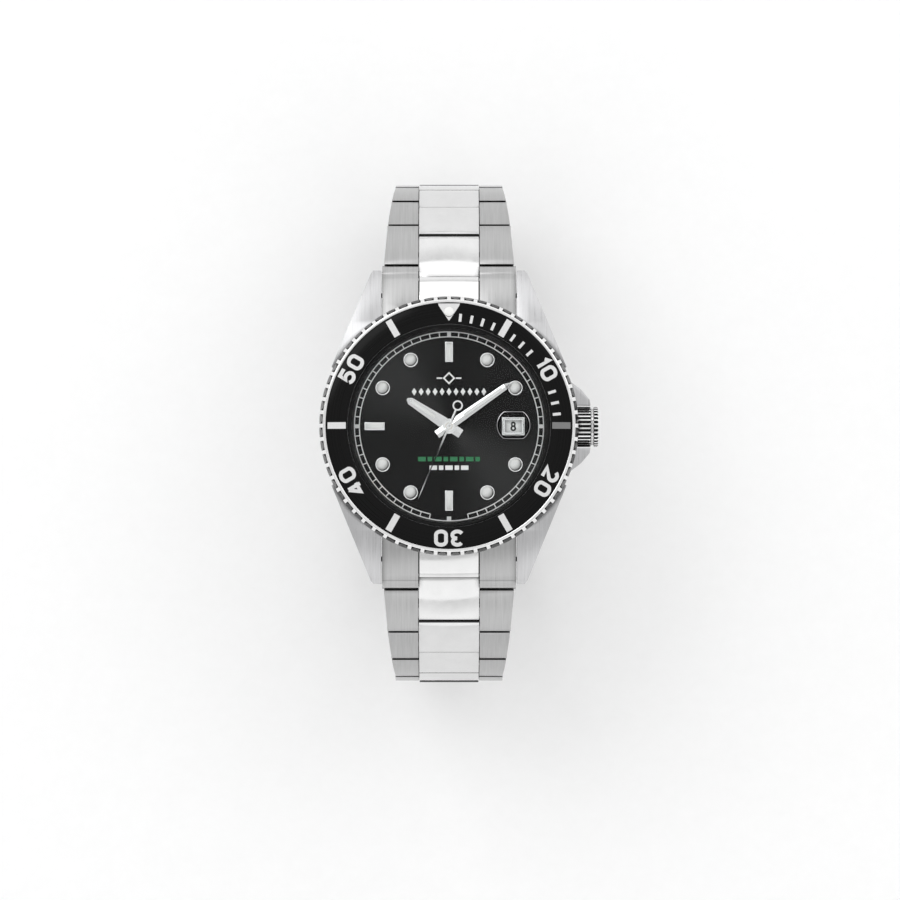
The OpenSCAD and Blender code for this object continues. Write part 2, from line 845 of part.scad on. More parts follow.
// Puts a section drawn along its row at its place on the 12 o'clock side
module in_row(i) {
    translate([0, pivot(i)[0], pivot(i)[1]]) rotate([-row_angles[i], 0, 0]) children();
}

module row_centre(i) {
    color("white") in_row(i) x_plate(-centre_w / 2, centre_w / 2) centre_section();
}

// Keeps what lies inside a row's outline, which narrows evenly from this row's width to the next
module taper(i) {
    near = row_w(i) / 2;
    far = row_w(i + 1) / 2;
    intersection() {
        children();
        translate([0, 0, -link_t]) linear_extrude(2 * link_t) polygon([[-near, 0], [near, 0],
            [far, pitch], [far, pitch + 2 * end_r], [-far, pitch + 2 * end_r], [-far, pitch]]);
    }
}

module row_sides(i) {
    w = row_w(i) / 2;
    pin_x = row_w(i + 1) / 2 - pin_inset;
    color("silver") in_row(i) {
        difference() {
            taper(i) both_x() x_plate(arm_x, w) side_section();
            x_rod(pin_r, -pin_x, pin_x, [pitch, 0]);
            x_rod(cross_r, -pin_x, pin_x, [pitch / 2, 0]);
        }
        x_rod(pin_r, -pin_x, pin_x, [pitch, 0]);
        x_rod(cross_r, -pin_x, pin_x, [pitch / 2, 0]);
    }
}

// Last row at 6: its centre is a tongue whose flat end stops short of the clasp's spring bar
module tongue_row(i) {
    w = row_w(i) / 2;
    side_l = pitch - 3.1;
    tongue_l = pitch - clasp_bar_r - tongue_gap;
    color("silver") in_row(i) {
        x_plate(-centre_w / 2, centre_w / 2) difference() {
            intersection() {
                under_crown();
                translate([-end_r, -link_h]) square([tongue_l + end_r, link_t]);
                union() {
                    circle(end_r);
                    translate([0, -link_t]) square([pitch, 2 * link_t]);
                }
            }
            circle(pin_r + run);
            translate([pitch / 2, 0]) circle(cross_r);
        }
        both_x() x_plate(arm_x, w) difference() {
            intersection() {
                under_crown();
                translate([0, -link_h]) square([side_l, link_t]);
            }
            circle(seat_r);
            translate([pitch / 2, 0]) circle(cross_r);
        }
        x_rod(cross_r, -w, w, [pitch / 2, 0]);
    }
}

module link_6_6() mirror([0, 1, 0]) tongue_row(5);

module link_12_6() {
    row_centre(5);
    row_sides(5);
}

/* Clasp */

module arc_section(r0, r1, y0, y1) {
    intersection() {
        translate([0, clasp_z]) difference() {
            circle(r1, $fn = 180);
            circle(r0, $fn = 180);
        }
        translate([y0, clasp_z - r1 - 5]) square([y1 - y0, 25]);
    }
}

module clasp_end_blade() {
    half = end_blade_w / 2;
    knuckle = 5;
    color("silver") difference() {
        union() {
            x_plate(-half, half) union() {
                arc_section(inner_blade_r, inner_blade_r + blade_t, inner_fold_y, last[0]);
                translate(last) circle(end_r);
            }
            x_rod(knuckle_r, -knuckle / 2, knuckle / 2, inner_fold);
        }
        x_rod(pin_r + run, -half - 1, half + 1, last);
        x_rod(fold_pin_r + run, -half - 1, half + 1, inner_fold);
        both_x() x_plate(knuckle / 2, half + 1) translate(inner_fold) circle(knuckle_r + 0.3);
    }
}

module clasp_middle_blade() {
    half = middle_blade_w / 2;
    knuckle = 5;
    color("silver") {
        difference() {
            union() {
                x_plate(-half, half) arc_section(middle_blade_r, middle_blade_r + blade_t,
                    inner_fold_y, outer_fold_y);
                both_x() x_rod(knuckle_r, knuckle / 2 + side_gap, half, inner_fold);
                x_rod(knuckle_r, -knuckle / 2, knuckle / 2, outer_fold);
            }
            x_rod(fold_pin_r, -half + pin_inset, half - pin_inset, inner_fold);
            x_rod(fold_pin_r + run, -half - 1, half + 1, outer_fold);
            x_rod(knuckle_r + 0.25, -knuckle / 2 - side_gap, knuckle / 2 + side_gap, inner_fold);
            both_x() x_rod(knuckle_r + 0.25, knuckle / 2, half + 1, outer_fold);
        }
        x_rod(fold_pin_r, -half + pin_inset, half - pin_inset, inner_fold);
    }
}

module clasp_cover() {
    knuckle = 5;
    bar_at = [-last[0], last[1]];
    color("silver") {
        difference() {
            union() {
                x_plate(-wall_x, wall_x)
                    arc_section(cover_in_r, cover_out_r, plate_y0, outer_fold_y + 0.3);
                both_x() x_plate(wall_x - wall_t, wall_x)
                    arc_section(wall_in_r, cover_out_r, cover_y0, cover_y1);
                both_x() x_rod(knuckle_r, knuckle / 2 + side_gap, wall_x - wall_t / 2, outer_fold);
                both_x() x_rod(catch_lug_r, catch_w / 2 + side_gap, 7, catch_pin);
            }
            x_rod(knuckle_r + 0.25, -knuckle / 2 - side_gap, knuckle / 2 + side_gap, outer_fold);
            x_rod(fold_pin_r, -wall_x + pin_inset, wall_x - pin_inset, outer_fold);
            x_rod(clasp_bar_r, -wall_x - 1, wall_x + 1, bar_at);
            x_rod(catch_pin_r, -7, 7, catch_pin);
        }
        x_rod(fold_pin_r, -wall_x + pin_inset, wall_x - pin_inset, outer_fold);
        x_rod(clasp_bar_r, -wall_x + 0.1, wall_x - 0.1, bar_at);
        x_rod(catch_pin_r, -7, 7, catch_pin);
    }
}

module clasp_safety_catch() {
    r0 = cover_out_r + catch_gap;
    half = catch_w / 2;
    lip_y = plate_y0 - 0.4;
    color("silver") difference() {
        union() {
            x_plate(-half, half) arc_section(r0, r0 + catch_t, lip_y - catch_t, catch_y);
            x_rod(catch_knuckle_r, -half, half, catch_pin);
            x_plate(-half, half) arc_section(cover_out_r - catch_lip, r0 + catch_t,
                lip_y - catch_t, lip_y);
        }
        x_rod(catch_pin_r + run, -10, 10, catch_pin);
    }
}

case_middle();
caseback();
gaskets();
crystal();
date_magnifier();
rehaut_ring();
dial();
hour_marker_frames();
hour_marker_lume();
mainplate();
train_bridge();
crown_tube();
spring_bars();
end_link_12();
end_link_6();
bezel_click_spring();
bezel_ring();
bezel_insert();
hour_hand();
hour_wheel();
minute_hand();
centre_wheel();
second_hand();
fourth_wheel();
third_wheel();
escape_wheel();
pallet_fork();
balance_wheel();
barrel();
rotor();
date_disc();
sliding_pinion();
crown();
winding_stem();
for (i = [1:rows - 1]) {
    row_centre(i - 1);
    row_sides(i - 1);
    mirror([0, 1, 0]) row_centre(i - 1);
    mirror([0, 1, 0]) row_sides(i - 1);
}
link_12_6();
link_6_6();
clasp_end_blade();
clasp_middle_blade();
clasp_cover();
clasp_safety_catch();
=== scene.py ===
"""Looks of a dive watch on its steel bracelet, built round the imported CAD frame.

Lengths are millimetres in the CAD's own frame: origin on the caseback, +Z through the crystal,
+Y to 12 o'clock, +X to the crown. They become metres when a mesh is made.
"""

import json
import math

import bmesh
import bpy
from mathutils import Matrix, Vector

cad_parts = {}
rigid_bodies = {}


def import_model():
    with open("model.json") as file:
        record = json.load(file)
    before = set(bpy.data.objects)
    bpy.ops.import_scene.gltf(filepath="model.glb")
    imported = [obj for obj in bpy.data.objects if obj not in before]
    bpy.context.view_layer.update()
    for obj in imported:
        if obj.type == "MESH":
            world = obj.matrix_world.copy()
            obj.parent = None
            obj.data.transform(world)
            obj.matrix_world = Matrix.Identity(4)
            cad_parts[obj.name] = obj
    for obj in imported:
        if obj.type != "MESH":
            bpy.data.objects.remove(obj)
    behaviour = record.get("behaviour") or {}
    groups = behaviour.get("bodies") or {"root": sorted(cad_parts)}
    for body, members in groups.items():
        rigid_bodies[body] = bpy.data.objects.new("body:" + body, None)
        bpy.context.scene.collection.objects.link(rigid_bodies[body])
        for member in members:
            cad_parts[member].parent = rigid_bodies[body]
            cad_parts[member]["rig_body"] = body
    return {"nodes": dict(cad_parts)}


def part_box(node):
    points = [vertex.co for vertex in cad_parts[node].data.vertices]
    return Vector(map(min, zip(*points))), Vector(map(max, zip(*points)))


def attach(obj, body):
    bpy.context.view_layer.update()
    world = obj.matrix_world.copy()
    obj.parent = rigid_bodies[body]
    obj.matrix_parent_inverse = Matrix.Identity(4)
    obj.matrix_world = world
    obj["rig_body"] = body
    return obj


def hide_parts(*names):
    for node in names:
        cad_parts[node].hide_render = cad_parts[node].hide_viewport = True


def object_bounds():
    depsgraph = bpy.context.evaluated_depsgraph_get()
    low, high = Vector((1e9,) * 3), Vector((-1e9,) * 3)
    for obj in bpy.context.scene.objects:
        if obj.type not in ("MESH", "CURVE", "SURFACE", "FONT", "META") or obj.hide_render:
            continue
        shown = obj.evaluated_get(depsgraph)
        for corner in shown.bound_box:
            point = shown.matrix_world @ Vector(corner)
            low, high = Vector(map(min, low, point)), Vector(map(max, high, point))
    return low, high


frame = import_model()
cad_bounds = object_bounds()

MM = 0.001
TAU = 2 * math.pi


# ---------------------------------------------------------------- sizes from the frame


def span(node):
    """Lowest and highest corner of a CAD node, in millimetres."""
    low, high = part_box(node)
    return low / MM, high / MM


BEZEL_LOW, BEZEL_HIGH = span("bezel_ring")
INSERT_HIGH = span("bezel_insert")[1]
CRYSTAL_LOW, CRYSTAL_HIGH = span("crystal")
LENS_LOW, LENS_HIGH = span("date_magnifier")
DIAL_TOP = span("dial")[1].z
REHAUT_HIGH = span("rehaut_ring")[1]
DATE_DISC_TOP = span("date_disc")[1].z
CROWN_LOW, CROWN_HIGH = span("crown")

BEZEL_R = BEZEL_HIGH.x
INSERT_OUT = INSERT_HIGH.x
INSERT_WIDTH = 3.45
INSERT_IN = INSERT_OUT - INSERT_WIDTH
INSERT_SLOPE = math.tan(math.radians(10))
INSERT_EDGE = BEZEL_HIGH.z - 0.1
SCALLOPS = 60
DATE_X = 10.4
DATE_W = 2.7
DATE_H = 1.95


# ---------------------------------------------------------------- mesh helpers


def make(name, bm, body, material, smooth=35):
    """Turns a bmesh in millimetres into a piece that rides on a body."""
    bmesh.ops.remove_doubles(bm, verts=bm.verts, dist=1e-4)
    bmesh.ops.recalc_face_normals(bm, faces=bm.faces)
    bmesh.ops.scale(bm, vec=(MM, MM, MM), verts=bm.verts)
    mesh = bpy.data.meshes.new(name)
    bm.to_mesh(mesh)
    bm.free()
    piece = bpy.data.objects.new(name, mesh)
    bpy.context.scene.collection.objects.link(piece)
    shade(piece, smooth)
    piece.data.materials.append(material)
    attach(piece, body)
    return piece


def shade(piece, angle):
    """Smooth shading, broken at edges sharper than the angle."""
    for face in piece.data.polygons:
        face.use_smooth = True
    piece.data.set_sharp_from_angle(angle=math.radians(angle))


def bevel(piece, width, segments=3):
    """Rounds a piece's edges by a real bevel, made part of its mesh."""
    mod = piece.modifiers.new("edges", "BEVEL")
    mod.width = width * MM
    mod.segments = segments
    mod.limit_method = "ANGLE"
    mod.angle_limit = math.radians(40)
    mod.use_clamp_overlap = True
    settle(piece)
    shade(piece, 50)
    return piece


def settle(piece):
    """Makes a piece's modifiers part of its mesh."""
    bpy.context.view_layer.update()
    shown = piece.evaluated_get(bpy.context.evaluated_depsgraph_get())
    mesh = bpy.data.meshes.new_from_object(shown)
    piece.modifiers.clear()
    piece.data = mesh


def across_grain(piece, axis="X"):
    """A UV map whose first direction lies across the brushing, so highlights spread that way.

    Axis X: brushed along the bracelet. Axis Z: brushed round the watch's own axis.
    """
    mesh = piece.data
    layer = mesh.uv_layers.new(name="grain")
    for face in mesh.polygons:
        normal = face.normal
        if axis == "X":
            along = Vector((1, 0, 0)).cross(normal)
        else:
            along = Vector((0, 0, 1)).cross(face.center)
        if along.length < 0.02 * (1 if axis == "X" else MM):
            along = Vector((0, 1, 0))
        along.normalize()
        over = along.cross(normal).normalized()
        for loop in face.loop_indices:
            point = mesh.vertices[mesh.loops[loop].vertex_index].co
            layer.data[loop].uv = (point.dot(over), point.dot(along))


def corner(points, radius, steps=4):
    """A closed outline with its corners rounded. A corner's own radius may follow its x and y."""
    out = []
    for i, point in enumerate(points):
        size = point[2] if len(point) > 2 else radius
        here = Vector(point[:2])
        before = Vector(points[i - 1][:2]) - here
        after = Vector(points[(i + 1) % len(points)][:2]) - here
        size = min(size, 0.45 * before.length, 0.45 * after.length)
        if size < 1e-4:
            out.append(here)
            continue
        start = here + before.normalized() * size
        end = here + after.normalized() * size
        for k in range(steps + 1):
            t = k / steps
            out.append(start * (1 - t) ** 2 + here * 2 * t * (1 - t) + end * t * t)
    return out


def lathe(profile, segments=180, bm=None, centre=(0, 0)):
    """A closed outline of radius and height, turned about Z."""
    bm = bm or bmesh.new()
    rings = []
    for i in range(segments):
        a = TAU * i / segments
        rings.append([
            bm.verts.new((centre[0] + p[0] * math.cos(a), centre[1] + p[0] * math.sin(a), p[1]))
            for p in profile
        ])
    for i in range(segments):
        near, far = rings[i], rings[(i + 1) % segments]
        for j in range(len(profile)):
            k = (j + 1) % len(profile)
            if profile[j][0] > 1e-6 or profile[k][0] > 1e-6:
                bm.faces.new((near[j], far[j], far[k], near[k]))
    return bm


def block(outline, z0, z1, bm=None, height=None):
    """A flat outline pulled from z0 to z1, or lying on height(x, y) with z0 and z1 from there."""
    bm = bm or bmesh.new()
    ground = height or (lambda x, y: 0)
    low = [bm.verts.new((p[0], p[1], ground(p[0], p[1]) + z0)) for p in outline]
    top = [bm.verts.new((p[0], p[1], ground(p[0], p[1]) + z1)) for p in outline]
    bm.faces.new(low)
    bm.faces.new(list(reversed(top)))
    for i in range(len(outline)):
        k = (i + 1) % len(outline)
        bm.faces.new((low[i], low[k], top[k], top[i]))
    return bm


def turned(points, angle, offset=(0, 0)):
    """Points moved by an offset and then turned clockwise about the origin."""
    c, s = math.cos(math.radians(-angle)), math.sin(math.radians(-angle))
    moved = [(p[0] + offset[0], p[1] + offset[1]) for p in points]
    return [(c * x - s * y, s * x + c * y) for x, y in moved]


def box_outline(w, h):
    """A rectangle about the origin, anticlockwise."""
    return [(-w / 2, -h / 2), (w / 2, -h / 2), (w / 2, h / 2), (-w / 2, h / 2)]


def ring_arc(radius, start, end, steps):
    """Points on a circle, clockwise from 12 o'clock, between two angles."""
    angles = [math.radians(start + (end - start) * i / steps) for i in range(steps + 1)]
    return [(radius * math.sin(a), radius * math.cos(a)) for a in angles]


def skin(bm, rows, closed=False):
    """Faces between rows of points, which close into a ring or are capped at both ends."""
    last = len(rows) if closed else len(rows) - 1
    for i in range(last):
        near, far = rows[i], rows[(i + 1) % len(rows)]
        for j in range(len(near)):
            k = (j + 1) % len(near)
            bm.faces.new((near[j], far[j], far[k], near[k]))
    if not closed:
        bm.faces.new(rows[0])
        bm.faces.new(list(reversed(rows[-1])))


def ribbon(path, width, closed=False):
    """Left and right points of a stroke of constant width along a path."""
    sides = []
    count = len(path)
    for i in range(count):
        here = Vector(path[i])
        before = Vector(path[i - 1]) if closed or i > 0 else None
        after = Vector(path[(i + 1) % count]) if closed or i < count - 1 else None
        into = (here - before).normalized() if before is not None else None
        away = (after - here).normalized() if after is not None else None
        into, away = into or away, away or into
        side = Vector((-(into + away).y, (into + away).x)).normalized()
        reach = width / 2 / max(0.5, side.dot(Vector((-into.y, into.x))))
        sides.append((here + side * reach, here - side * reach))
    return sides


def stroke(bm, path, width, z0, z1, closed=False, place=None, height=None):
    """Adds a raised stroke along a path, each point put in its place first."""
    place = place or (lambda p: p)
    ground = height or (lambda x, y: 0)
    rows = []
    for left, right in ribbon(path, width, closed):
        a, b = place((left.x, left.y)), place((right.x, right.y))
        rows.append([
            bm.verts.new((q[0], q[1], ground(q[0], q[1]) + z))
            for q, z in ((a, z0), (a, z1), (b, z1), (b, z0))
        ])
    skin(bm, rows, closed)


def sweep(cx, cy, rx, ry, start, end, steps=12):
    """Points on an ellipse between two angles, anticlockwise from +X."""
    angles = [math.radians(start + (end - start) * i / steps) for i in range(steps + 1)]
    return [(cx + rx * math.cos(a), cy + ry * math.sin(a)) for a in angles]


# Each figure is drawn in a box one wide and one high: strokes of (path, closed)
LOOP = sweep(0.5, 0.74, 0.5, 0.26, 0, 180) + sweep(0.5, 0.26, 0.5, 0.26, 180, 360)
FIGURES = {
    "0": [(LOOP, True)],
    "1": [([(0.0, 0.76), (0.32, 1.0), (0.32, 0.0)], False)],
    "2": [(sweep(0.5, 0.7, 0.46, 0.3, 165, -38) + [(0.04, 0.0), (1.0, 0.0)], False)],
    "3": [
        (sweep(0.47, 0.75, 0.45, 0.25, 155, -85), False),
        (sweep(0.47, 0.27, 0.5, 0.27, 88, -155), False),
    ],
    "4": [([(0.74, 0.0), (0.74, 1.0)], False), ([(0.7, 0.98), (0.0, 0.26), (1.0, 0.26)], False)],
    "5": [([(0.94, 1.0), (0.14, 1.0), (0.08, 0.5)] + sweep(0.46, 0.31, 0.5, 0.31, 130, -150), False)],
    "6": [(sweep(0.5, 0.3, 0.48, 0.3, 0, 350), True),
          ([(0.8, 1.0), (0.3, 0.75), (0.03, 0.36)], False)],
    "7": [([(0.0, 1.0), (1.0, 1.0), (0.36, 0.0)], False)],
    "8": [
        (sweep(0.5, 0.76, 0.4, 0.24, 0, 350), True),
        (sweep(0.5, 0.27, 0.5, 0.27, 0, 350), True),
    ],
    "9": [(sweep(0.5, 0.7, 0.48, 0.3, 0, 350), True),
          ([(0.2, 0.0), (0.7, 0.25), (0.97, 0.64)], False)],
}


def number(bm, text, size, line, z0, z1, place, height=None):
    """Adds a number, centred, its figures inside a box of the given width and height each."""
    w, h = size
    gap = 0.6 * line
    widths = [w * (0.32 if figure == "1" else 1) for figure in text]
    left = -(sum(widths) + (len(text) - 1) * (line + gap)) / 2
    for figure, width in zip(text, widths):
        for k, (path, closed) in enumerate(FIGURES[figure]):
            points = [(left + x * w, (y - 0.5) * h) for x, y in path]
            stroke(bm, points, line, z0, z1 + 0.002 * k, closed, place, height)
        left += width + line + gap


# ---------------------------------------------------------------- materials


class Look:
    """A Principled material and the few nodes that vary it."""

    def __init__(self, name, colour, metallic=0.0, roughness=0.4, **sockets):
        self.material = bpy.data.materials.new(name)
        self.material.use_nodes = True
        self.tree = self.material.node_tree
        self.shader = self.tree.nodes["Principled BSDF"]
        self.set("Base Color", (*colour, 1))
        self.set("Metallic", metallic)
        self.set("Roughness", roughness)
        for socket, value in sockets.items():
            self.set(socket.replace("_", " "), value)

    def set(self, socket, value):
        self.shader.inputs[socket].default_value = value

    def node(self, kind, **settings):
        node = self.tree.nodes.new("ShaderNode" + kind)
        for key, value in settings.items():
            setattr(node, key, value)
        return node

    def link(self, source, target):
        self.tree.links.new(source, target)

    def math(self, operation, a, b):
        node = self.node("Math", operation=operation)
        for socket, value in zip(node.inputs, (a, b)):
            if isinstance(value, (int, float)):
                socket.default_value = value
            else:
                self.link(value, socket)
        return node.outputs[0]

    def place(self, kind="plain", stretch=(1, 1, 1)):
        """Object coordinates: plain, along a ray from the axis (sunburst), or round it (circles)."""
        coords = self.node("TexCoord").outputs["Object"]
        if kind == "plain":
            mapping = self.node("Mapping")
            self.link(coords, mapping.inputs["Vector"])
            mapping.inputs["Scale"].default_value = stretch
            return mapping.outputs[0]
        flat = self.node("VectorMath", operation="MULTIPLY")
        flat.inputs[1].default_value = (1, 1, 0)
        self.link(coords, flat.inputs[0])
        if kind == "rays":
            unit = self.node("VectorMath", operation="NORMALIZE")
            self.link(flat.outputs[0], unit.inputs[0])
            return unit.outputs[0]
        length = self.node("VectorMath", operation="LENGTH")
        self.link(flat.outputs[0], length.inputs[0])
        line = self.node("CombineXYZ")
        self.link(length.outputs["Value"], line.inputs[0])
        return line.outputs[0]

    def noise(self, place, scale, detail=5, rough=0.6):
        noise = self.node("TexNoise")
        self.link(place, noise.inputs["Vector"])
        noise.inputs["Scale"].default_value = scale
        noise.inputs["Detail"].default_value = detail
        noise.inputs["Roughness"].default_value = rough
        return noise.outputs["Fac"]

    def ramp(self, factor, low, high, start=0.3, end=0.7):
        """From one colour or number to another as the factor goes from start to end."""
        ramp = self.node("ValToRGB")
        for element, at, value in zip(ramp.color_ramp.elements, (start, end), (low, high)):
            element.position = at
            element.color = (*value, 1) if hasattr(value, "__len__") else (value,) * 3 + (1,)
        self.link(factor, ramp.inputs["Fac"])
        return ramp.outputs["Color"]

    def vary(self, factor, colours=None, roughness=None, span=(0.3, 0.7)):
        if colours:
            self.link(self.ramp(factor, *colours, *span), self.shader.inputs["Base Color"])
        if roughness:
            self.link(self.ramp(factor, *roughness, *span), self.shader.inputs["Roughness"])
        return self

    def bump(self, factor, strength, depth):
        """Relief of the given depth in millimetres."""
        bump = self.node("Bump")
        bump.inputs["Strength"].default_value = strength
        bump.inputs["Distance"].default_value = depth * MM
        self.link(factor, bump.inputs["Height"])
        self.link(bump.outputs[0], self.shader.inputs["Normal"])
        return self

    def grimed(self, reach=0.9, low=0.55, high=0.93, darkest=0.005):
        """Painted shade: darkens the base colour in gaps and corners that open less than the reach in
        millimetres, where shade falls.
        """
        base = self.shader.inputs["Base Color"]
        shelter = self.node("AmbientOcclusion", samples=6)
        shelter.inputs["Distance"].default_value = reach * MM
        mix = self.node("Mix", data_type="RGBA", blend_type="MULTIPLY")
        mix.inputs["Factor"].default_value = 1.0
        self.link(self.ramp(shelter.outputs["AO"], darkest, 1.0, low, high), mix.inputs["B"])
        self.link(base.links[0].from_socket, mix.inputs["A"])
        self.link(mix.outputs["Result"], base)
        return self

    def brushed(self, amount):
        """Highlights drawn out across the grain that across_grain laid."""
        tangent = self.node("Tangent", direction_type="UV_MAP", uv_map="grain")
        self.link(tangent.outputs[0], self.shader.inputs["Tangent"])
        self.set("Anisotropic", amount)
        return self


def grain_steel(name, low, high, roughness):
    """Satin steel with fine streaks along the bracelet."""
    look = Look(name, high, metallic=1)
    streak = look.noise(look.place(stretch=(1, 0.03, 0.03)), 4200, 8, 0.7)
    look.vary(streak, (low, high), roughness, (0.25, 0.75))
    look.bump(streak, 0.25, 0.003)
    # Painted shade in gaps and corners, then highlights drawn out across the grain.
    return look.grimed().brushed(0.65).material


def mirror_steel(name, colour, roughness=(0.05, 0.13), grime=True):
    """Polished steel with the faint haze and hairlines of wear."""
    look = Look(name, colour, metallic=1)
    haze = look.noise(look.place(stretch=(1, 0.6, 1)), 420, 6, 0.65)
    look.vary(haze, (tuple(0.94 * c for c in colour), colour), roughness, (0.35, 0.7))
    hairline = look.noise(look.place(stretch=(1, 0.05, 0.3)), 5200, 3, 0.5)
    look.bump(hairline, 0.08, 0.002)
    # Painted shade darkens gaps and corners unless it is turned off.
    return look.grimed().material if grime else look.material


def round_steel(name, low, high, roughness, scale=5200, depth=0.003):
    """Steel turned on a lathe: fine circles about the watch's axis."""
    look = Look(name, high, metallic=1)
    circles = look.noise(look.place("circles"), scale, 4, 0.6)
    look.vary(circles, (low, high), roughness)
    return look.bump(circles, 0.4, depth).material


def case_steel():
    """Satin on faces that look up, polished on the flanks and chamfers."""
    look = Look("case_steel", (0.6, 0.6, 0.61), metallic=1)
    streak = look.noise(look.place(stretch=(1, 0.03, 0.03)), 4200, 8, 0.7)
    normal = look.node("SeparateXYZ")
    look.link(look.node("TexCoord").outputs["Normal"], normal.inputs[0])
    up = look.node("MapRange", interpolation_type="SMOOTHSTEP")
    look.link(look.math("ABSOLUTE", normal.outputs["Z"], 0), up.inputs["Value"])
    up.inputs["From Min"].default_value = 0.55
    up.inputs["From Max"].default_value = 0.72
    satin = look.ramp(streak, 0.24, 0.42)
    rough = look.node("Mix", data_type="FLOAT")
    look.link(up.outputs[0], rough.inputs["Factor"])
    rough.inputs[2].default_value = 0.12
    look.link(satin, rough.inputs[3])
    look.link(rough.outputs[0], look.shader.inputs["Roughness"])
    shade_of_steel = look.ramp(streak, (0.48, 0.48, 0.485), (0.62, 0.62, 0.63))
    look.link(shade_of_steel, look.shader.inputs["Base Color"])
    look.bump(look.math("MULTIPLY", streak, up.outputs[0]), 0.25, 0.003)
    # Painted shade in gaps and corners, then highlights drawn out across the grain.
    return look.grimed().brushed(0.5).material


def insert_black():
    """Glossy black bezel insert with a faint turned grain under its gloss."""
    look = Look("insert_black", (0.004, 0.004, 0.004), roughness=0.12, Specular_IOR_Level=0.12)
    circles = look.noise(look.place("circles"), 3800, 3, 0.5)
    look.vary(circles, ((0.002, 0.002, 0.002), (0.005, 0.005, 0.005)), (0.1, 0.16))
    return look.material


def sunburst_black():
    """Black dial brushed in rays from its centre, with a painted highlight streak across it."""
    look = Look("sunburst_black", (0.02, 0.02, 0.02), metallic=1, Coat_Weight=0.15,
                Coat_Roughness=0.1)
    rays = look.noise(look.place("rays"), 46, 6, 0.75)
    look.vary(rays, ((0.006, 0.006, 0.006), (0.014, 0.014, 0.014)), (0.36, 0.46), (0.35, 0.65))
    # Painted highlight: a paler streak added to the base colour along one direction across the dial.
    along = look.node("VectorMath", operation="DOT_PRODUCT")
    look.link(look.place("rays"), along.inputs[0])
    highlight_direction, sharpness = (-0.77, 0.64, 0), 7
    along.inputs[1].default_value = highlight_direction
    streak = look.math("POWER", look.math("ABSOLUTE", along.outputs["Value"], 0), sharpness)
    painted_highlight = look.node("Mix", data_type="RGBA", blend_type="ADD")
    look.link(look.ramp(streak, 0.0, 0.028, 0.0, 1.0), painted_highlight.inputs["B"])
    look.link(look.shader.inputs["Base Color"].links[0].from_socket, painted_highlight.inputs["A"])
    painted_highlight.inputs["Factor"].default_value = 1.0
    look.link(painted_highlight.outputs["Result"], look.shader.inputs["Base Color"])
    look.bump(rays, 0.08, 0.02)
    tangent = look.node("Tangent", direction_type="RADIAL", axis="Z")
    look.link(tangent.outputs[0], look.shader.inputs["Tangent"])
    look.set("Anisotropic", 0.95)
    return look.material


def printed(name, colour, roughness=0.5, metallic=0.0):
    """Pad-printed ink or metal with a slightly uneven surface."""
    look = Look(name, colour, metallic=metallic, roughness=roughness)
    grain = look.noise(look.place(), 9000, 3)
    look.vary(grain, (tuple(0.86 * c for c in colour), colour), (roughness * 0.85, roughness * 1.15))
    return look.bump(grain, 0.15, 0.004).material


def lume_white(name="lume_white", edge_shade=0.0):
    """Luminous paste: warm white, matt, faintly grainy; with edge shade, a dome gets painted shade, darker
    away from 10:30.
    """
    look = Look(name, (0.88, 0.88, 0.86), roughness=0.5, Coat_Weight=0.4, Coat_Roughness=0.2)
    grain = look.noise(look.place(), 7000, 4)
    look.vary(grain, ((0.84, 0.84, 0.82), (0.92, 0.92, 0.91)), (0.45, 0.62))
    # Painted shade: the base colour darkens as the surface turns away from the upper left.
    if edge_shade:
        facing = look.node("VectorMath", operation="DOT_PRODUCT")
        look.link(look.node("TexCoord").outputs["Normal"], facing.inputs[0])
        bright_side = (-0.5, 0.5, 0.71)
        facing.inputs[1].default_value = bright_side
        mix = look.node("Mix", data_type="RGBA", blend_type="MULTIPLY")
        mix.inputs["Factor"].default_value = 1.0
        look.link(look.shader.inputs["Base Color"].links[0].from_socket, mix.inputs["A"])
        look.link(look.ramp(facing.outputs["Value"], 1 - edge_shade, 1.0, 0.1, 0.72), mix.inputs["B"])
        look.link(mix.outputs["Result"], look.shader.inputs["Base Color"])
    return look.bump(grain, 0.2, 0.006).material


def clear_sapphire(name="clear_sapphire", tint=(0.985, 0.99, 0.99)):
    """Clear, coated crystal: lets light straight through and mirrors a little, more at its edge."""
    look = Look(name, (1, 1, 1))
    tree = look.tree
    tree.nodes.remove(look.shader)
    clear = look.node("BsdfTransparent")
    clear.inputs["Color"].default_value = (*tint, 1)
    gloss = look.node("BsdfGlossy")
    gloss.inputs["Roughness"].default_value = 0.03
    fresnel = look.node("Fresnel")
    fresnel.inputs["IOR"].default_value = 1.13
    mix = look.node("MixShader")
    look.link(fresnel.outputs[0], mix.inputs[0])
    look.link(clear.outputs[0], mix.inputs[1])
    look.link(gloss.outputs[0], mix.inputs[2])
    look.link(mix.outputs[0], tree.nodes["Material Output"].inputs["Surface"])
    return look.material


def soft_black(name, colour=(0.02, 0.02, 0.02), roughness=0.6):
    """Black rubber or lacquer with a fine mottling."""
    look = Look(name, colour, roughness=roughness, Specular_IOR_Level=0.15)
    grain = look.noise(look.place(), 6000, 4)
    look.vary(grain, (tuple(0.7 * c for c in colour), tuple(1.4 * c for c in colour)),
              (roughness * 0.8, roughness * 1.15))
    return look.bump(grain, 0.25, 0.01).material


def plated(name, low, high, scale=1500):
    """Plated movement part, finished in small overlapping circles."""
    look = Look(name, high, metallic=1)
    cells = look.node("TexVoronoi", feature="F1")
    look.link(look.place(), cells.inputs["Vector"])
    cells.inputs["Scale"].default_value = scale * 0.6
    look.vary(cells.outputs["Distance"], (low, high), (0.16, 0.34), (0.0, 0.7))
    return look.bump(look.math("SINE", look.math("MULTIPLY", cells.outputs["Distance"], 60), 0),
                     0.25, 0.003).material


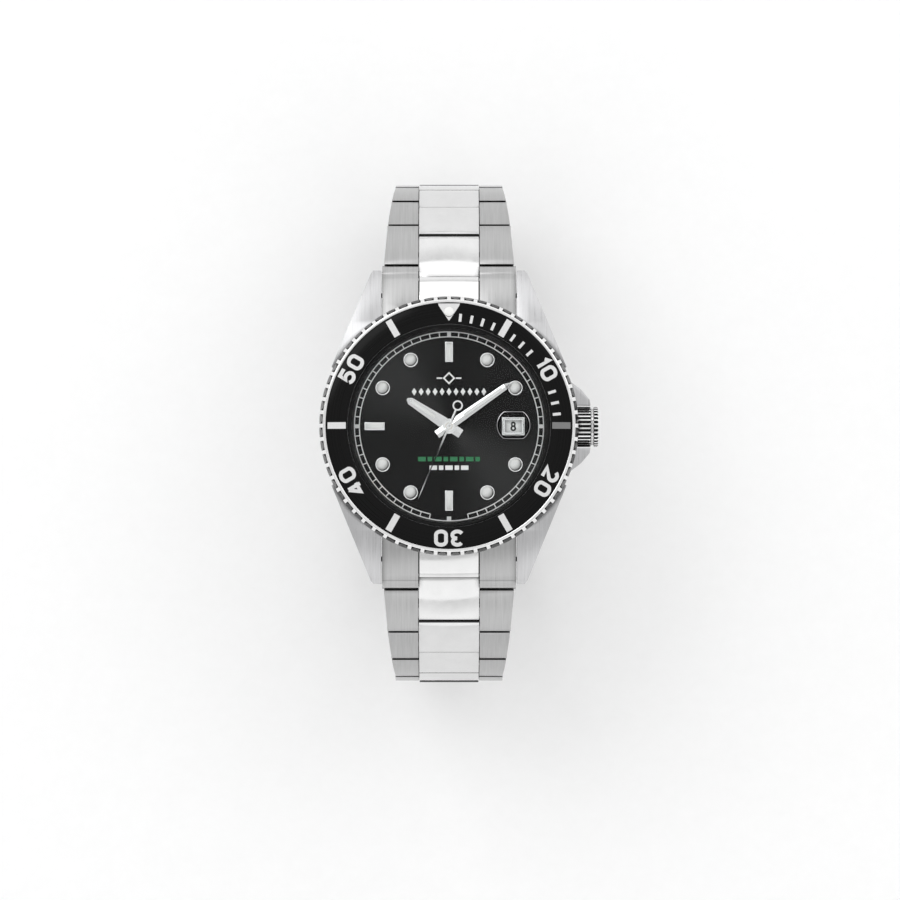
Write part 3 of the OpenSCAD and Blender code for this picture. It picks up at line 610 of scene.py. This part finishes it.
def striped(name, low, high):
    """Broad parallel stripes across a bridge or rotor."""
    look = Look(name, high, metallic=1)
    bands = look.node("TexWave", wave_type="BANDS", bands_direction="DIAGONAL", wave_profile="SAW")
    look.link(look.place(), bands.inputs["Vector"])
    bands.inputs["Scale"].default_value = 110
    bands.inputs["Distortion"].default_value = 0.4
    look.vary(bands.outputs["Fac"], (low, high), (0.14, 0.36), (0.0, 1.0))
    return look.bump(bands.outputs["Fac"], 0.2, 0.01).material


def card_white():
    """White card of the date ring, faintly mottled."""
    look = Look("date_card", (0.97, 0.97, 0.96), roughness=0.55)
    grain = look.noise(look.place(), 8000, 4)
    look.vary(grain, ((0.95, 0.95, 0.94), (0.99, 0.99, 0.98)), (0.5, 0.65))
    return look.bump(grain, 0.1, 0.003).material


BRUSHED = grain_steel("brushed_link_steel", (0.38, 0.38, 0.38), (0.50, 0.50, 0.50), (0.26, 0.36))
POLISHED = mirror_steel("polished_link_steel", (0.74, 0.74, 0.74), (0.07, 0.16))
# Near-black steel: painted shade on the links' rolled ends.
LINK_END_SHADE = mirror_steel("link_end_painted_shade", (0.05, 0.05, 0.05), (0.2, 0.3))
BEZEL_STEEL = mirror_steel("polished_bezel_steel", (0.86, 0.86, 0.86), (0.1, 0.2))
# Near-black steel: painted shade in the hollows of the bezel and the crown.
BEZEL_HOLLOW_SHADE = mirror_steel("bezel_hollow_painted_shade", (0.03, 0.03, 0.03), (0.2, 0.3))
CASE = case_steel()
TURNED = round_steel("turned_caseback_steel", (0.45, 0.45, 0.46), (0.66, 0.66, 0.67), (0.2, 0.32))
INSERT = insert_black()
INSERT_MARK = printed("insert_silver", (0.74, 0.74, 0.74), 0.4, 0.1)
# Dark grey: painted shade on the baton at 15.
INSERT_MARK_SHADE = printed("insert_mark_painted_shade", (0.2, 0.2, 0.2), 0.4, 0.1)
DIAL = sunburst_black()
PRINT_WHITE = printed("print_white", (0.95, 0.95, 0.94))
PRINT_GREEN = printed("print_green", (0.02, 0.22, 0.08))
PRINT_BLACK = printed("print_black", (0.012, 0.012, 0.013))
HAND_STEEL = mirror_steel("hand_steel", (0.86, 0.86, 0.86), (0.1, 0.2), grime=False)
LUME = lume_white()
# Domes of paste with painted shade.
LUME_DOME_SHADED = lume_white("lume_dome_painted_shade", 0.85)
SAPPHIRE = clear_sapphire()
# Dark see-through tint: painted shade at the lens edge.
LENS_EDGE_SHADE = clear_sapphire("lens_edge_painted_shade", (0.1, 0.1, 0.1))
# Grey steel: painted reflection on the lens rim.
LENS_RIM_GLINT = mirror_steel("lens_rim_painted_reflection", (0.45, 0.45, 0.46), (0.15, 0.25), grime=False)
RUBBER = soft_black("gasket_rubber")
REHAUT = soft_black("rehaut_black", (0.008, 0.008, 0.008), 0.45)
NICKEL = plated("nickel_plate", (0.42, 0.41, 0.38), (0.62, 0.61, 0.57))
GILT = round_steel("gilt_brass", (0.55, 0.40, 0.18), (0.78, 0.58, 0.28), (0.18, 0.3), 4200)
STRIPED = striped("striped_rotor_steel", (0.46, 0.46, 0.45), (0.66, 0.66, 0.64))
PIVOT_STEEL = mirror_steel("pivot_steel", (0.6, 0.6, 0.62), (0.1, 0.2))
DATE_CARD = card_white()


# ---------------------------------------------------------------- steel pieces with rounded edges


def soften(node, width, material, grain="X"):
    """A piece with the CAD node's shape and real rounded edges, which stands for the node."""
    source = frame["nodes"][node]
    bm = bmesh.new()
    bm.from_mesh(source.data)
    bmesh.ops.remove_doubles(bm, verts=bm.verts, dist=0.001 * MM)
    bmesh.ops.dissolve_limit(bm, angle_limit=math.radians(0.5), verts=bm.verts, edges=bm.edges)
    mesh = bpy.data.meshes.new(node + "_shape")
    bm.to_mesh(mesh)
    bm.free()
    piece = bpy.data.objects.new(node + "_shape", mesh)
    bpy.context.scene.collection.objects.link(piece)
    mod = piece.modifiers.new("edges", "BEVEL")
    mod.width = width * MM
    mod.segments = 2
    mod.limit_method = "ANGLE"
    mod.angle_limit = math.radians(32)
    settle(piece)
    shade(piece, 40)
    piece.data.materials.clear()
    piece.data.materials.append(material)
    across_grain(piece, grain)
    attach(piece, source["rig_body"])
    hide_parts(node)
    return piece


# Rounding of the edges of each kind of piece
LINK_ROUNDING = 0.18
CASE_ROUNDING = 0.16
CASEBACK_ROUNDING = 0.1
CLASP_ROUNDING = 0.12
CROWN_ROUNDING = 0.06
# The middle of the bracelet's loop, and how squarely a face has to look away from it
LOOP_HUB = Vector((0, 0, -17 * MM))
OUTER_FACE = 0.8
# How far a face at a link's end may lean towards the link's side, and where its turn begins
SIDE_LEAN = 0.25
END_TURN = 0.1
# Half width of an end link's polished middle, and how far up its faces look
END_MIDDLE = 4.95
END_FACING = 0.3


def dark_ends(piece):
    """Painted shade: blackens the steel where a link's outer face rolls away at its two ends, into the gaps
    between links.
    """
    mesh = piece.data
    mesh.materials.append(LINK_END_SHADE)
    outward = Vector((0, 0, 0))
    for face in mesh.polygons:
        away = (face.center - LOOP_HUB).normalized()
        if face.normal.dot(away) > OUTER_FACE:
            outward += face.area * face.normal
    outward.normalize()
    for face in mesh.polygons:
        turn = face.normal.dot(outward)
        if abs(face.normal.x) < SIDE_LEAN and END_TURN < turn < OUTER_FACE:
            face.material_index = 1


for side in ("12", "6"):
    end = soften(f"end_link_{side}", LINK_ROUNDING, BRUSHED)
    end.data.materials.append(POLISHED)
    for face in end.data.polygons:
        reach = max(abs(end.data.vertices[v].co.x) for v in face.vertices)
        if reach < END_MIDDLE * MM and face.normal.z > END_FACING:
            face.material_index = 1
    for i in range(1, 6):
        # Each link's rolled ends get painted shade.
        dark_ends(soften(f"link_{side}_{i}_centre", LINK_ROUNDING, POLISHED))
        dark_ends(soften(f"link_{side}_{i}_sides", LINK_ROUNDING, BRUSHED))
    dark_ends(soften(f"link_{side}_6", LINK_ROUNDING, BRUSHED))
for node in ("clasp_cover", "clasp_safety_catch", "clasp_middle_blade", "clasp_end_blade"):
    soften(node, CLASP_ROUNDING, BRUSHED)
soften("case_middle", CASE_ROUNDING, CASE)
soften("caseback", CASEBACK_ROUNDING, TURNED, grain="Z")


# ---------------------------------------------------------------- crown


def crown():
    """Fluted crown, with painted shade in the hollows between its flutes."""
    shallow, deep = 0.05, 0.26
    end_facing = 0.5
    radius = (CROWN_HIGH.y - CROWN_LOW.y) / 2
    middle = (CROWN_HIGH.z + CROWN_LOW.z) / 2
    piece = soften("crown", CROWN_ROUNDING, BEZEL_STEEL)
    piece.data.materials.append(BEZEL_HOLLOW_SHADE)
    for face in piece.data.polygons:
        depth = radius - math.hypot(face.center.y, face.center.z - middle * MM) / MM
        # Faces deep in a flute get painted shade.
        if abs(face.normal.x) < end_facing and shallow < depth < deep:
            face.material_index = 1


crown()


# ---------------------------------------------------------------- bezel


def insert_height(x, y):
    """Top of the insert's sloping face."""
    return INSERT_EDGE + INSERT_SLOPE * (INSERT_OUT - math.hypot(x, y))


def bezel_ring():
    """Scalloped steel ring: a full lip below, hollows cut into its upper edge with painted shade in them, a
    polished rim.
    """
    steps = 14
    hollow_r, hollow_at = 0.85, BEZEL_R + 0.35
    top, low = BEZEL_HIGH.z, BEZEL_LOW.z
    crest = BEZEL_R - 0.62
    rings, depths = [], []
    bm = bmesh.new()
    total = SCALLOPS * steps
    for i in range(total):
        a = TAU * i / total
        off = ((i % steps) / steps - 0.5) * TAU / SCALLOPS
        reach = hollow_r ** 2 - (hollow_at * math.sin(off)) ** 2
        edge = BEZEL_R - 0.1
        if reach > 0:
            edge = min(edge, hollow_at * math.cos(off) - math.sqrt(reach))
        depths.append(BEZEL_R - 0.1 - edge)
        shoulder = top - 0.12 - 0.62 * max(0, edge - crest) / (BEZEL_R - crest)
        profile = [
            (INSERT_IN + 0.85, low), (BEZEL_R - 0.4, low), (BEZEL_R - 0.08, low + 0.25),
            (BEZEL_R - 0.02, low + 0.42), (BEZEL_R - 0.04, low + 0.62),
            (edge + 0.02, shoulder - 0.25), (edge - 0.03, shoulder),
            (min(edge - 0.06, crest + 0.02), top - 0.1), (crest - 0.08, top - 0.02),
            (crest - 0.2, top), (INSERT_OUT + 0.12, top), (INSERT_OUT + 0.03, top - 0.04),
            (INSERT_OUT + 0.01, top - 0.8), (INSERT_IN + 0.85, top - 0.3),
        ]
        rings.append([bm.verts.new((r * math.cos(a), r * math.sin(a), z)) for r, z in profile])
    count = len(rings[0])
    hollow_faces = (4, 5, 6)
    for i in range(total):
        near, far = rings[i], rings[(i + 1) % total]
        for j in range(count):
            k = (j + 1) % count
            face = bm.faces.new((near[j], far[j], far[k], near[k]))
            depth = max(depths[i], depths[(i + 1) % total])
            # Faces of a hollow deep enough get the near-black steel: painted shade.
            face.material_index = int(j in hollow_faces and depth > 0.05)
    piece = make("bezel_ring_shape", bm, "bezel", BEZEL_STEEL, smooth=30)
    piece.data.materials.append(BEZEL_HOLLOW_SHADE)
    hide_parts("bezel_ring")


def bezel_insert():
    """Sloping black insert with its edges rounded."""
    rise = INSERT_SLOPE * INSERT_WIDTH
    thickness = 0.7
    under = INSERT_EDGE - thickness
    profile = corner([
        (INSERT_IN, under + rise, 0.02), (INSERT_OUT, under, 0.02),
        (INSERT_OUT, INSERT_EDGE, 0.1), (INSERT_IN, INSERT_EDGE + rise, 0.06)], 0.05)
    piece = make("bezel_insert_shape", lathe(profile, 240), "bezel", INSERT)
    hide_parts("bezel_insert")


def bezel_marks():
    """Silver scale: triangle and pip at 12, figures each ten minutes, batons and short ticks; the baton at 15
    is painted grey as shade.
    """
    sunk, proud = -0.04, 0.025
    bm = bmesh.new()

    def mark(outline, minute, radius):
        block(turned(outline, 6 * minute, (0, radius)), sunk, proud, bm, insert_height)

    ring_mid = (INSERT_IN + INSERT_OUT) / 2
    inner_end = INSERT_IN + 0.38
    tick_l, tick_w = 1.3, 0.45
    for minute in range(1, 15):
        if minute not in (5, 9, 10, 11):
            mark(box_outline(tick_w, tick_l), minute, inner_end + tick_l / 2)
    baton_l, baton_w = 2.95, 1.05
    for minute in (5, 25, 35, 45, 55):
        mark(box_outline(baton_w, baton_l), minute, ring_mid - 0.05)
    for minute in (10, 20, 30, 40, 50):
        place = lambda p, m=minute: turned([p], 6 * m, (0, ring_mid))[0]
        number(bm, str(minute), (1.62, 2.16), 0.6, sunk, proud, place, insert_height)
    tri_w, tri_r0, tri_r1 = 3.8, INSERT_IN + 0.4, INSERT_OUT - 0.1
    pip_r, pip_at = 0.8, INSERT_OUT - 1.55
    apex, left, right = (0, tri_r0), (-tri_w / 2, tri_r1 - 0.08), (tri_w / 2, tri_r1 - 0.08)
    outer = corner([apex, right, left], 0.12, 3)
    hole = [(pip_r * math.sin(TAU * i / 48), pip_at + pip_r * math.cos(TAU * i / 48)) for i in range(48)]
    ring_between(bm, outer, hole, (0, pip_at), sunk, proud)
    piece = make("bezel_scale", bm, "bezel", INSERT_MARK)
    # The baton at 15 takes the dark grey: painted shade.
    shaded = block(turned(box_outline(baton_w, baton_l), 90, (0, ring_mid - 0.05)), sunk, proud, None,
                   insert_height)
    make("bezel_baton_15", shaded, "bezel", INSERT_MARK_SHADE)
    pip_base = insert_height(0, pip_at)
    dome = [(0, pip_base - 0.3), (pip_r, pip_base - 0.3), (pip_r, pip_base + 0.02),
            (0.92 * pip_r, pip_base + 0.1), (0.75 * pip_r, pip_base + 0.17),
            (0.5 * pip_r, pip_base + 0.22), (0.25 * pip_r, pip_base + 0.245), (0, pip_base + 0.25)]
    pip = make("bezel_pip", lathe(dome, 48, None, (0, pip_at)), "bezel", LUME, 60)


def ring_between(bm, outer, hole, centre, z0, z1):
    """Fills between an outline and a round hole in it: rays from the hole to the outline."""
    edge = []
    for p in hole:
        direction = Vector((p[0] - centre[0], p[1] - centre[1])).normalized()
        best = None
        for i in range(len(outer)):
            a, b = Vector(outer[i][:2]), Vector(outer[(i + 1) % len(outer)][:2])
            along = b - a
            cross = direction.x * along.y - direction.y * along.x
            if abs(cross) < 1e-9:
                continue
            gap = a - Vector(centre)
            t = (gap.x * along.y - gap.y * along.x) / cross
            u = (gap.x * direction.y - gap.y * direction.x) / cross
            if t > 0 and -1e-6 <= u <= 1 + 1e-6:
                best = t if best is None else min(best, t)
        edge.append((centre[0] + direction.x * best, centre[1] + direction.y * best))
    rows = []
    for p, q in zip(hole, edge):
        ends = [(p, z0), (p, z1), (q, z1), (q, z0)]
        rows.append([bm.verts.new((v[0], v[1], insert_height(*v) + z)) for v, z in ends])
    skin(bm, rows, closed=True)


bezel_ring()
bezel_insert()
bezel_marks()


# ---------------------------------------------------------------- crystal, lens and rehaut


def crystal():
    r, low, top = CRYSTAL_HIGH.x, CRYSTAL_LOW.z, CRYSTAL_HIGH.z
    bevel_w, rounding = 0.32, 0.12
    profile = corner([(0, low, 0), (r, low, 0.05), (r, top - bevel_w, rounding),
                      (r - bevel_w, top, rounding), (0, top, 0)], 0)
    piece = make("crystal_shape", lathe(profile, 240), "watch_head", SAPPHIRE)
    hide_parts("crystal")


def date_lens():
    """Domed lens with flat sides above and below, on the crystal over the date; a painted dark band and a
    painted light rim draw its outline.
    """
    radius = (LENS_HIGH.x - LENS_LOW.x) / 2
    half_h = LENS_HIGH.y
    centre_x = (LENS_HIGH.x + LENS_LOW.x) / 2
    base, crown = LENS_LOW.z, LENS_HIGH.z - LENS_LOW.z
    wall = 0.16
    spokes, rings = 96, 8
    bm = bmesh.new()
    rows = []
    steps_out = [k / rings for k in range(rings)] + [0.965, 1]
    for t in steps_out:
        row = []
        for i in range(spokes):
            a = TAU * i / spokes
            x, y = radius * math.cos(a), radius * math.sin(a)
            y = max(-half_h, min(half_h, y))
            x, y = x * t, y * t
            z = base + wall + (crown - wall) * (1 - (math.hypot(x, y) / radius) ** 2)
            row.append(bm.verts.new((centre_x + x, y, z)))
        rows.append(row)
    for k in range(rings + 1):
        for i in range(spokes):
            j = (i + 1) % spokes
            face = bm.faces.new((rows[k][i], rows[k][j], rows[k + 1][j], rows[k + 1][i]))
            # The outer band gets the dark tint as painted shade, the last sliver the grey steel as painted
            # reflection.
            face.material_index = max(0, k - rings + 2)
    foot = [bm.verts.new((v.co.x, v.co.y, base)) for v in rows[-1]]
    for i in range(spokes):
        j = (i + 1) % spokes
        bm.faces.new((rows[-1][i], rows[-1][j], foot[j], foot[i]))
    bm.faces.new(foot)
    piece = make("date_lens_shape", bm, "watch_head", SAPPHIRE, 40)
    piece.data.materials.append(LENS_EDGE_SHADE)
    piece.data.materials.append(LENS_RIM_GLINT)
    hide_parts("date_magnifier")


def rehaut():
    """Black sloping ring between dial and crystal, with a thin polished lip at its top."""
    out, top = REHAUT_HIGH.x, REHAUT_HIGH.z
    inner_low, inner_high = out - 0.75, out - 0.4
    profile = corner([(inner_low, DIAL_TOP, 0.02), (out, DIAL_TOP, 0), (out, top, 0),
                      (inner_high, top, 0.05)], 0)
    piece = make("rehaut_shape", lathe(profile, 240), "watch_head", REHAUT)
    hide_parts("rehaut_ring")
    lip_in, lip_out, lip_low = out - 0.2, out - 0.02, top - 0.1
    lip = corner([(lip_in, lip_low), (lip_out, lip_low), (lip_out, top), (lip_in, top)], 0.03)
    ring = make("rehaut_lip", lathe(lip, 240), "watch_head", HAND_STEEL)


crystal()
date_lens()
rehaut()


# ---------------------------------------------------------------- dial


def dial_print():
    """Minute track and the plain ornaments that stand where a maker would print."""
    low, high = DIAL_TOP - 0.005, DIAL_TOP + 0.012
    inner_r, outer_r, line = 14.5, 15.3, 0.17
    quarter_w, square, lift = 0.62, 0.7, 0.002
    gap_from, gap_to = 28, 32
    bm = bmesh.new()
    stroke(bm, ring_arc(outer_r, 0, 360 - 1.5, 239), line, low, high, closed=True)
    start, end = 6 * gap_to, 6 * gap_from + 360
    stroke(bm, ring_arc(inner_r, start, end, 220), line, low, high + 0.001)
    for minute in range(60):
        if gap_from < minute < gap_to:
            continue
        size = (line, outer_r - inner_r)
        if minute in (0, 15, 45):
            size = (quarter_w, outer_r - inner_r)
        at = (0, (inner_r + outer_r) / 2)
        block(turned(box_outline(*size), 6 * minute, at), low, high + lift, bm)
    block(turned(box_outline(square, square), 180, (0, outer_r - square / 2)), low, high + lift, bm)
    ornament(bm, low, high)
    white = make("dial_print_white", bm, "watch_head", PRINT_WHITE)
    bm = bmesh.new()
    dashes(bm, 8, 10.0, 0.72, -5.3, low, high)
    green = make("dial_print_green", bm, "watch_head", PRINT_GREEN)


def dashes(bm, count, width, tall, y, low, high):
    """A row of short bars of alternating length, centred."""
    lengths = [1.0 if i % 2 == 0 else 0.6 for i in range(count)]
    gap = 0.3
    scale = (width - gap * (count - 1)) / sum(lengths)
    x = -width / 2
    for length in lengths:
        w = length * scale
        block([(x + p[0] + w / 2, y + p[1]) for p in box_outline(w, tall)], low, high, bm)
        x += w + gap


def ornament(bm, low, high):
    """A lozenge between two bars, a chain of small lozenges under it, and a row of dashes below."""
    def lozenge(x, y, w, h, line):
        path = [(x - w / 2, y), (x, y + h / 2), (x + w / 2, y), (x, y - h / 2)]
        stroke(bm, path, line, low, high, closed=True)

    lozenge(0, 7.8, 1.7, 1.7, 0.24)
    for way in (-1, 1):
        block([(way * 1.55 + p[0], 7.8 + p[1]) for p in box_outline(0.9, 0.24)], low, high, bm)
    count, width, tall = 11, 12.4, 1.25
    pitch = width / count
    for i in range(count):
        x = -width / 2 + (i + 0.5) * pitch
        w = 0.72 * pitch
        points = [(x - w / 2, 5.6), (x, 5.6 + tall / 2), (x + w / 2, 5.6), (x, 5.6 - tall / 2)]
        block(points, low, high, bm)
    dashes(bm, 5, 6.3, 0.72, -6.7, low, high)


def hour_markers():
    """Polished frames with domed or crowned lume."""
    frame_wall, frame_t = 0.22, 0.34
    dot, dot_at = 1.2, 12.4
    baton_w, baton_l, baton_at = 1.3, 3.3, 12.05
    frames, lume, domes = bmesh.new(), bmesh.new(), bmesh.new()
    rim = corner([(dot - frame_wall, DIAL_TOP), (dot, DIAL_TOP), (dot, DIAL_TOP + frame_t),
                  (dot - frame_wall, DIAL_TOP + frame_t)], 0.08)
    inner = dot - frame_wall
    dome = ((1, 0.3), (0.93, 0.42), (0.8, 0.52), (0.62, 0.6), (0.4, 0.65), (0.2, 0.675), (0, 0.68))
    swell = [(0, DIAL_TOP + 0.1), (inner, DIAL_TOP + 0.1)] + [(k * inner, DIAL_TOP + z) for k, z in dome]
    for hour in (1, 2, 4, 5, 7, 8, 10, 11):
        x, y = turned([(0, dot_at)], 30 * hour)[0]
        lathe(rim, 48, frames, (x, y))
        lathe(swell, 48, domes, (x, y))
    for hour in (6, 9, 12):
        place = lambda p, h=hour: turned([p], 30 * h, (0, baton_at))[0]
        w, l = baton_w - frame_wall, baton_l - frame_wall
        path = box_outline(w, l)
        stroke(frames, path, frame_wall, DIAL_TOP, DIAL_TOP + frame_t, closed=True, place=place)
        crowned_bar(lume, w - frame_wall, l - frame_wall, DIAL_TOP + 0.1, DIAL_TOP + frame_t, place)
    rims = make("hour_marker_rims", frames, "watch_head", HAND_STEEL)
    bevel(rims, 0.04, 2)
    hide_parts("hour_marker_frames")
    fills = make("hour_marker_fills", lume, "watch_head", LUME, 60)
    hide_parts("hour_marker_lume")
    make("hour_marker_domes", domes, "watch_head", LUME_DOME_SHADED, 60)
    surround = bmesh.new()
    path = [(DATE_X + x, y) for x, y in box_outline(DATE_W + 0.5, DATE_H + 0.5)]
    stroke(surround, path, 0.5, DIAL_TOP, DIAL_TOP + 0.19, closed=True)
    date_frame = make("date_surround", surround, "watch_head", HAND_STEEL)
    bevel(date_frame, 0.06, 3)


def crowned_bar(bm, w, l, z0, z1, place):
    """A bar of paste, higher along its middle."""
    rise = 0.09
    across = [(-0.5, z0), (-0.5, z1 - 0.03), (-0.3, z1 + rise * 0.6), (0, z1 + rise),
              (0.3, z1 + rise * 0.6), (0.5, z1 - 0.03), (0.5, z0)]
    rows = []
    for y, lower in ((-l / 2, 0.6), (-l / 2 + 0.15, 1), (l / 2 - 0.15, 1), (l / 2, 0.6)):
        row = []
        for x, z in across:
            p = place((x * w, y))
            row.append(bm.verts.new((p[0], p[1], z0 + (z - z0) * (lower if z > z1 - 0.04 else 1))))
        rows.append(row)
    skin(bm, rows)


def date_numbers():
    """1 to 31 round the date ring, 8 in the window."""
    bm = bmesh.new()
    shown = 8
    for day in range(1, 32):
        angle = (day - shown) * 360 / 31
        place = lambda p, a=angle: turned([p], a, (DATE_X, 0))[0]
        number(bm, str(day), (0.66, 1.3), 0.27, DATE_DISC_TOP - 0.01, DATE_DISC_TOP + 0.01, place)
    piece = make("date_numbers", bm, "date_ring", PRINT_BLACK)


dial_print()
hour_markers()
date_numbers()


# ---------------------------------------------------------------- hands


def hand_blade(name, node, body, angle, stations, boss_r, slot):
    """A hand with two facets that meet in a ridge, a round boss, and lume along its slot.

    Stations are (half width, distance from the centre), tail first. Slot is (width, from, to).
    """
    thickness, facet_drop = 0.25, 0.2
    low = span(node)[0].z
    high = low + thickness
    edge = high - facet_drop
    bm = bmesh.new()
    rows = []
    for half, y in stations:
        points = [(-half, low), (-half, edge), (0, high), (half, edge), (half, low)]
        row = []
        for x, z in points:
            p = turned([(x, y)], angle)[0]
            row.append(bm.verts.new((p[0], p[1], z)))
        rows.append(row)
    skin(bm, rows)
    foot, cap = low + 0.01, high - 0.02
    boss = [(0, foot, 0), (boss_r, foot, 0.02), (boss_r, cap, 0.08), (0, cap, 0)]
    lathe(corner(boss, 0), 64, bm)
    piece = make(name, bm, body, HAND_STEEL, 12)
    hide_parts(node)
    width, start, end = slot
    half, mid = width / 2, (start + end) / 2
    bm = bmesh.new()
    place = lambda p: turned([p], angle, (0, mid))[0]
    crowned_bar(bm, width, end - start, low + 0.03, high - 0.06, place)
    fill = make(name + "_lume", bm, body, LUME, 60)


HOUR_AT, MINUTE_AT, SECOND_AT = 303, 55, 203

hand_blade("hour_hand_shape", "hour_hand", "hour_hand_set", HOUR_AT,
           [(0.73, -2.3), (0.78, 0), (0.95, 0.9), (0.6, 7.5), (0.15, 8.1)], 1.25, (0.72, 2.6, 7.3))
hand_blade("minute_hand_shape", "minute_hand", "minute_hand_set", MINUTE_AT,
           [(0.66, -2.4), (0.68, 0), (0.7, 0.9), (0.5, 11.1), (0.12, 12.1)], 1.0, (0.62, 2.9, 10.6))


def second_hand():
    low, high = span("second_hand")[0].z, span("second_hand")[1].z
    length, ring_at, ring_r, ring_line = 12.8, 3.6, 0.85, 0.28
    bm = bmesh.new()
    mid = (low + high) / 2
    rows = []
    for half, y in ((0.15, -ring_at + ring_r), (0.16, 0), (0.11, 5), (0.07, length)):
        row = []
        for x, z in ((-half, low), (-half, mid), (0, high), (half, mid), (half, low)):
            p = turned([(x, y)], SECOND_AT)[0]
            row.append(bm.verts.new((p[0], p[1], z)))
        rows.append(row)
    skin(bm, rows)
    cap = corner([(0, low, 0), (0.5, low, 0.02), (0.5, high, 0.05), (0, high, 0)], 0)
    lathe(cap, 48, bm)
    at = turned([(0, -ring_at)], SECOND_AT)[0]
    ring = corner([(ring_r - ring_line, low), (ring_r, low), (ring_r, high), (ring_r - ring_line, high)], 0.04)
    lathe(ring, 48, bm, at)
    piece = make("second_hand_shape", bm, "second_hand_set", HAND_STEEL, 12)
    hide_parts("second_hand")


second_hand()


# ---------------------------------------------------------------- finishes of the CAD nodes that stay

FINISHES = {
    DIAL: ["dial"],
    RUBBER: ["gaskets"],
    NICKEL: ["mainplate", "train_bridge"],
    GILT: ["centre_wheel", "third_wheel", "fourth_wheel", "barrel", "balance_wheel", "hour_wheel",
           "bezel_click_spring", "sliding_pinion"],
    STRIPED: ["rotor"],
    PIVOT_STEEL: ["escape_wheel", "pallet_fork", "winding_stem", "crown_tube", "spring_bars"],
    DATE_CARD: ["date_disc"],
}
for finish, names in FINISHES.items():
    for node in names:
        mesh = frame["nodes"][node].data
        mesh.materials.clear()
        mesh.materials.append(finish)


# ---------------------------------------------------------------- floor, lights and camera


def floor():
    low = cad_bounds[0][2]
    half_size, clearance = 6.0, 0.0002
    bm = bmesh.new()
    bmesh.ops.create_grid(bm, x_segments=4, y_segments=4, size=half_size)
    bmesh.ops.translate(bm, vec=(0, 0, low - clearance), verts=bm.verts)
    mesh = bpy.data.meshes.new("floor")
    bm.to_mesh(mesh)
    bm.free()
    plane = bpy.data.objects.new("floor", mesh)
    bpy.context.scene.collection.objects.link(plane)
    look = Look("pale_floor", (0.98, 0.98, 0.98), roughness=0.7)
    grain = look.noise(look.place(), 400, 3)
    look.vary(grain, ((0.97, 0.97, 0.97), (0.99, 0.99, 0.99)), (0.65, 0.75))
    mesh.materials.append(look.material)


def softbox(name, place, size, power):
    """A rectangular light that looks at the watch."""
    data = bpy.data.lights.new(name, "AREA")
    data.shape = "RECTANGLE"
    data.size, data.size_y = size
    data.energy = power
    light = bpy.data.objects.new(name, data)
    light.location = place
    light.rotation_euler = (-Vector(place)).to_track_quat("-Z", "Y").to_euler()
    bpy.context.scene.collection.objects.link(light)


def studio():
    """Plain soft light: a pale surround, brightest at the horizon, and softboxes round the watch."""
    world = bpy.data.worlds.new("studio")
    bpy.context.scene.world = world
    world.use_nodes = True
    tree = world.node_tree
    background = tree.nodes["Background"]
    coords = tree.nodes.new("ShaderNodeTexCoord")
    split = tree.nodes.new("ShaderNodeSeparateXYZ")
    ramp = tree.nodes.new("ShaderNodeValToRGB")
    tree.links.new(coords.outputs["Generated"], split.inputs[0])
    tree.links.new(split.outputs["Z"], ramp.inputs["Fac"])
    tree.links.new(ramp.outputs["Color"], background.inputs["Color"])
    # Brightness from the horizon (0) up to the zenith (1)
    stops = ((0.0, 1.2), (0.3, 1.2), (0.55, 0.78), (0.78, 0.7), (0.93, 0.78), (1.0, 0.95))
    elements = ramp.color_ramp.elements
    while len(elements) < len(stops):
        elements.new(0.5)
    for element, (at, level) in zip(elements, stops):
        element.position = at
        element.color = (level, level, level, 1)
    background.inputs["Strength"].default_value = 1.0
    softbox("key", (-0.36, 0.36, 0.6), (0.4, 0.4), 0.9)
    softbox("side", (0.4, 0.3, 0.55), (0.3, 0.3), 0.3)
    softbox("top", (0.0, 0.6, 0.5), (0.8, 0.25), 0.45)
    softbox("front", (0.05, -0.6, 0.5), (0.8, 0.25), 0.3)


def camera():
    """Nearly straight down on the dial, from far off, with 12 o'clock up."""
    distance = 1.2
    view_width = 0.1452
    tilt = math.radians(2)
    target = Vector((0.16, -3.95, BEZEL_HIGH.z)) * MM
    data = bpy.data.cameras.new("camera")
    data.sensor_width = 36
    data.lens = data.sensor_width * distance / view_width
    data.clip_start = 0.05
    data.clip_end = 20
    eye = bpy.data.objects.new("camera", data)
    eye.location = target + distance * Vector((0, -math.sin(tilt), math.cos(tilt)))
    eye.rotation_euler = (tilt, 0, 0)
    bpy.context.scene.collection.objects.link(eye)
    bpy.context.scene.camera = eye


floor()
studio()
camera()
bpy.context.scene.view_settings.view_transform = "Standard"
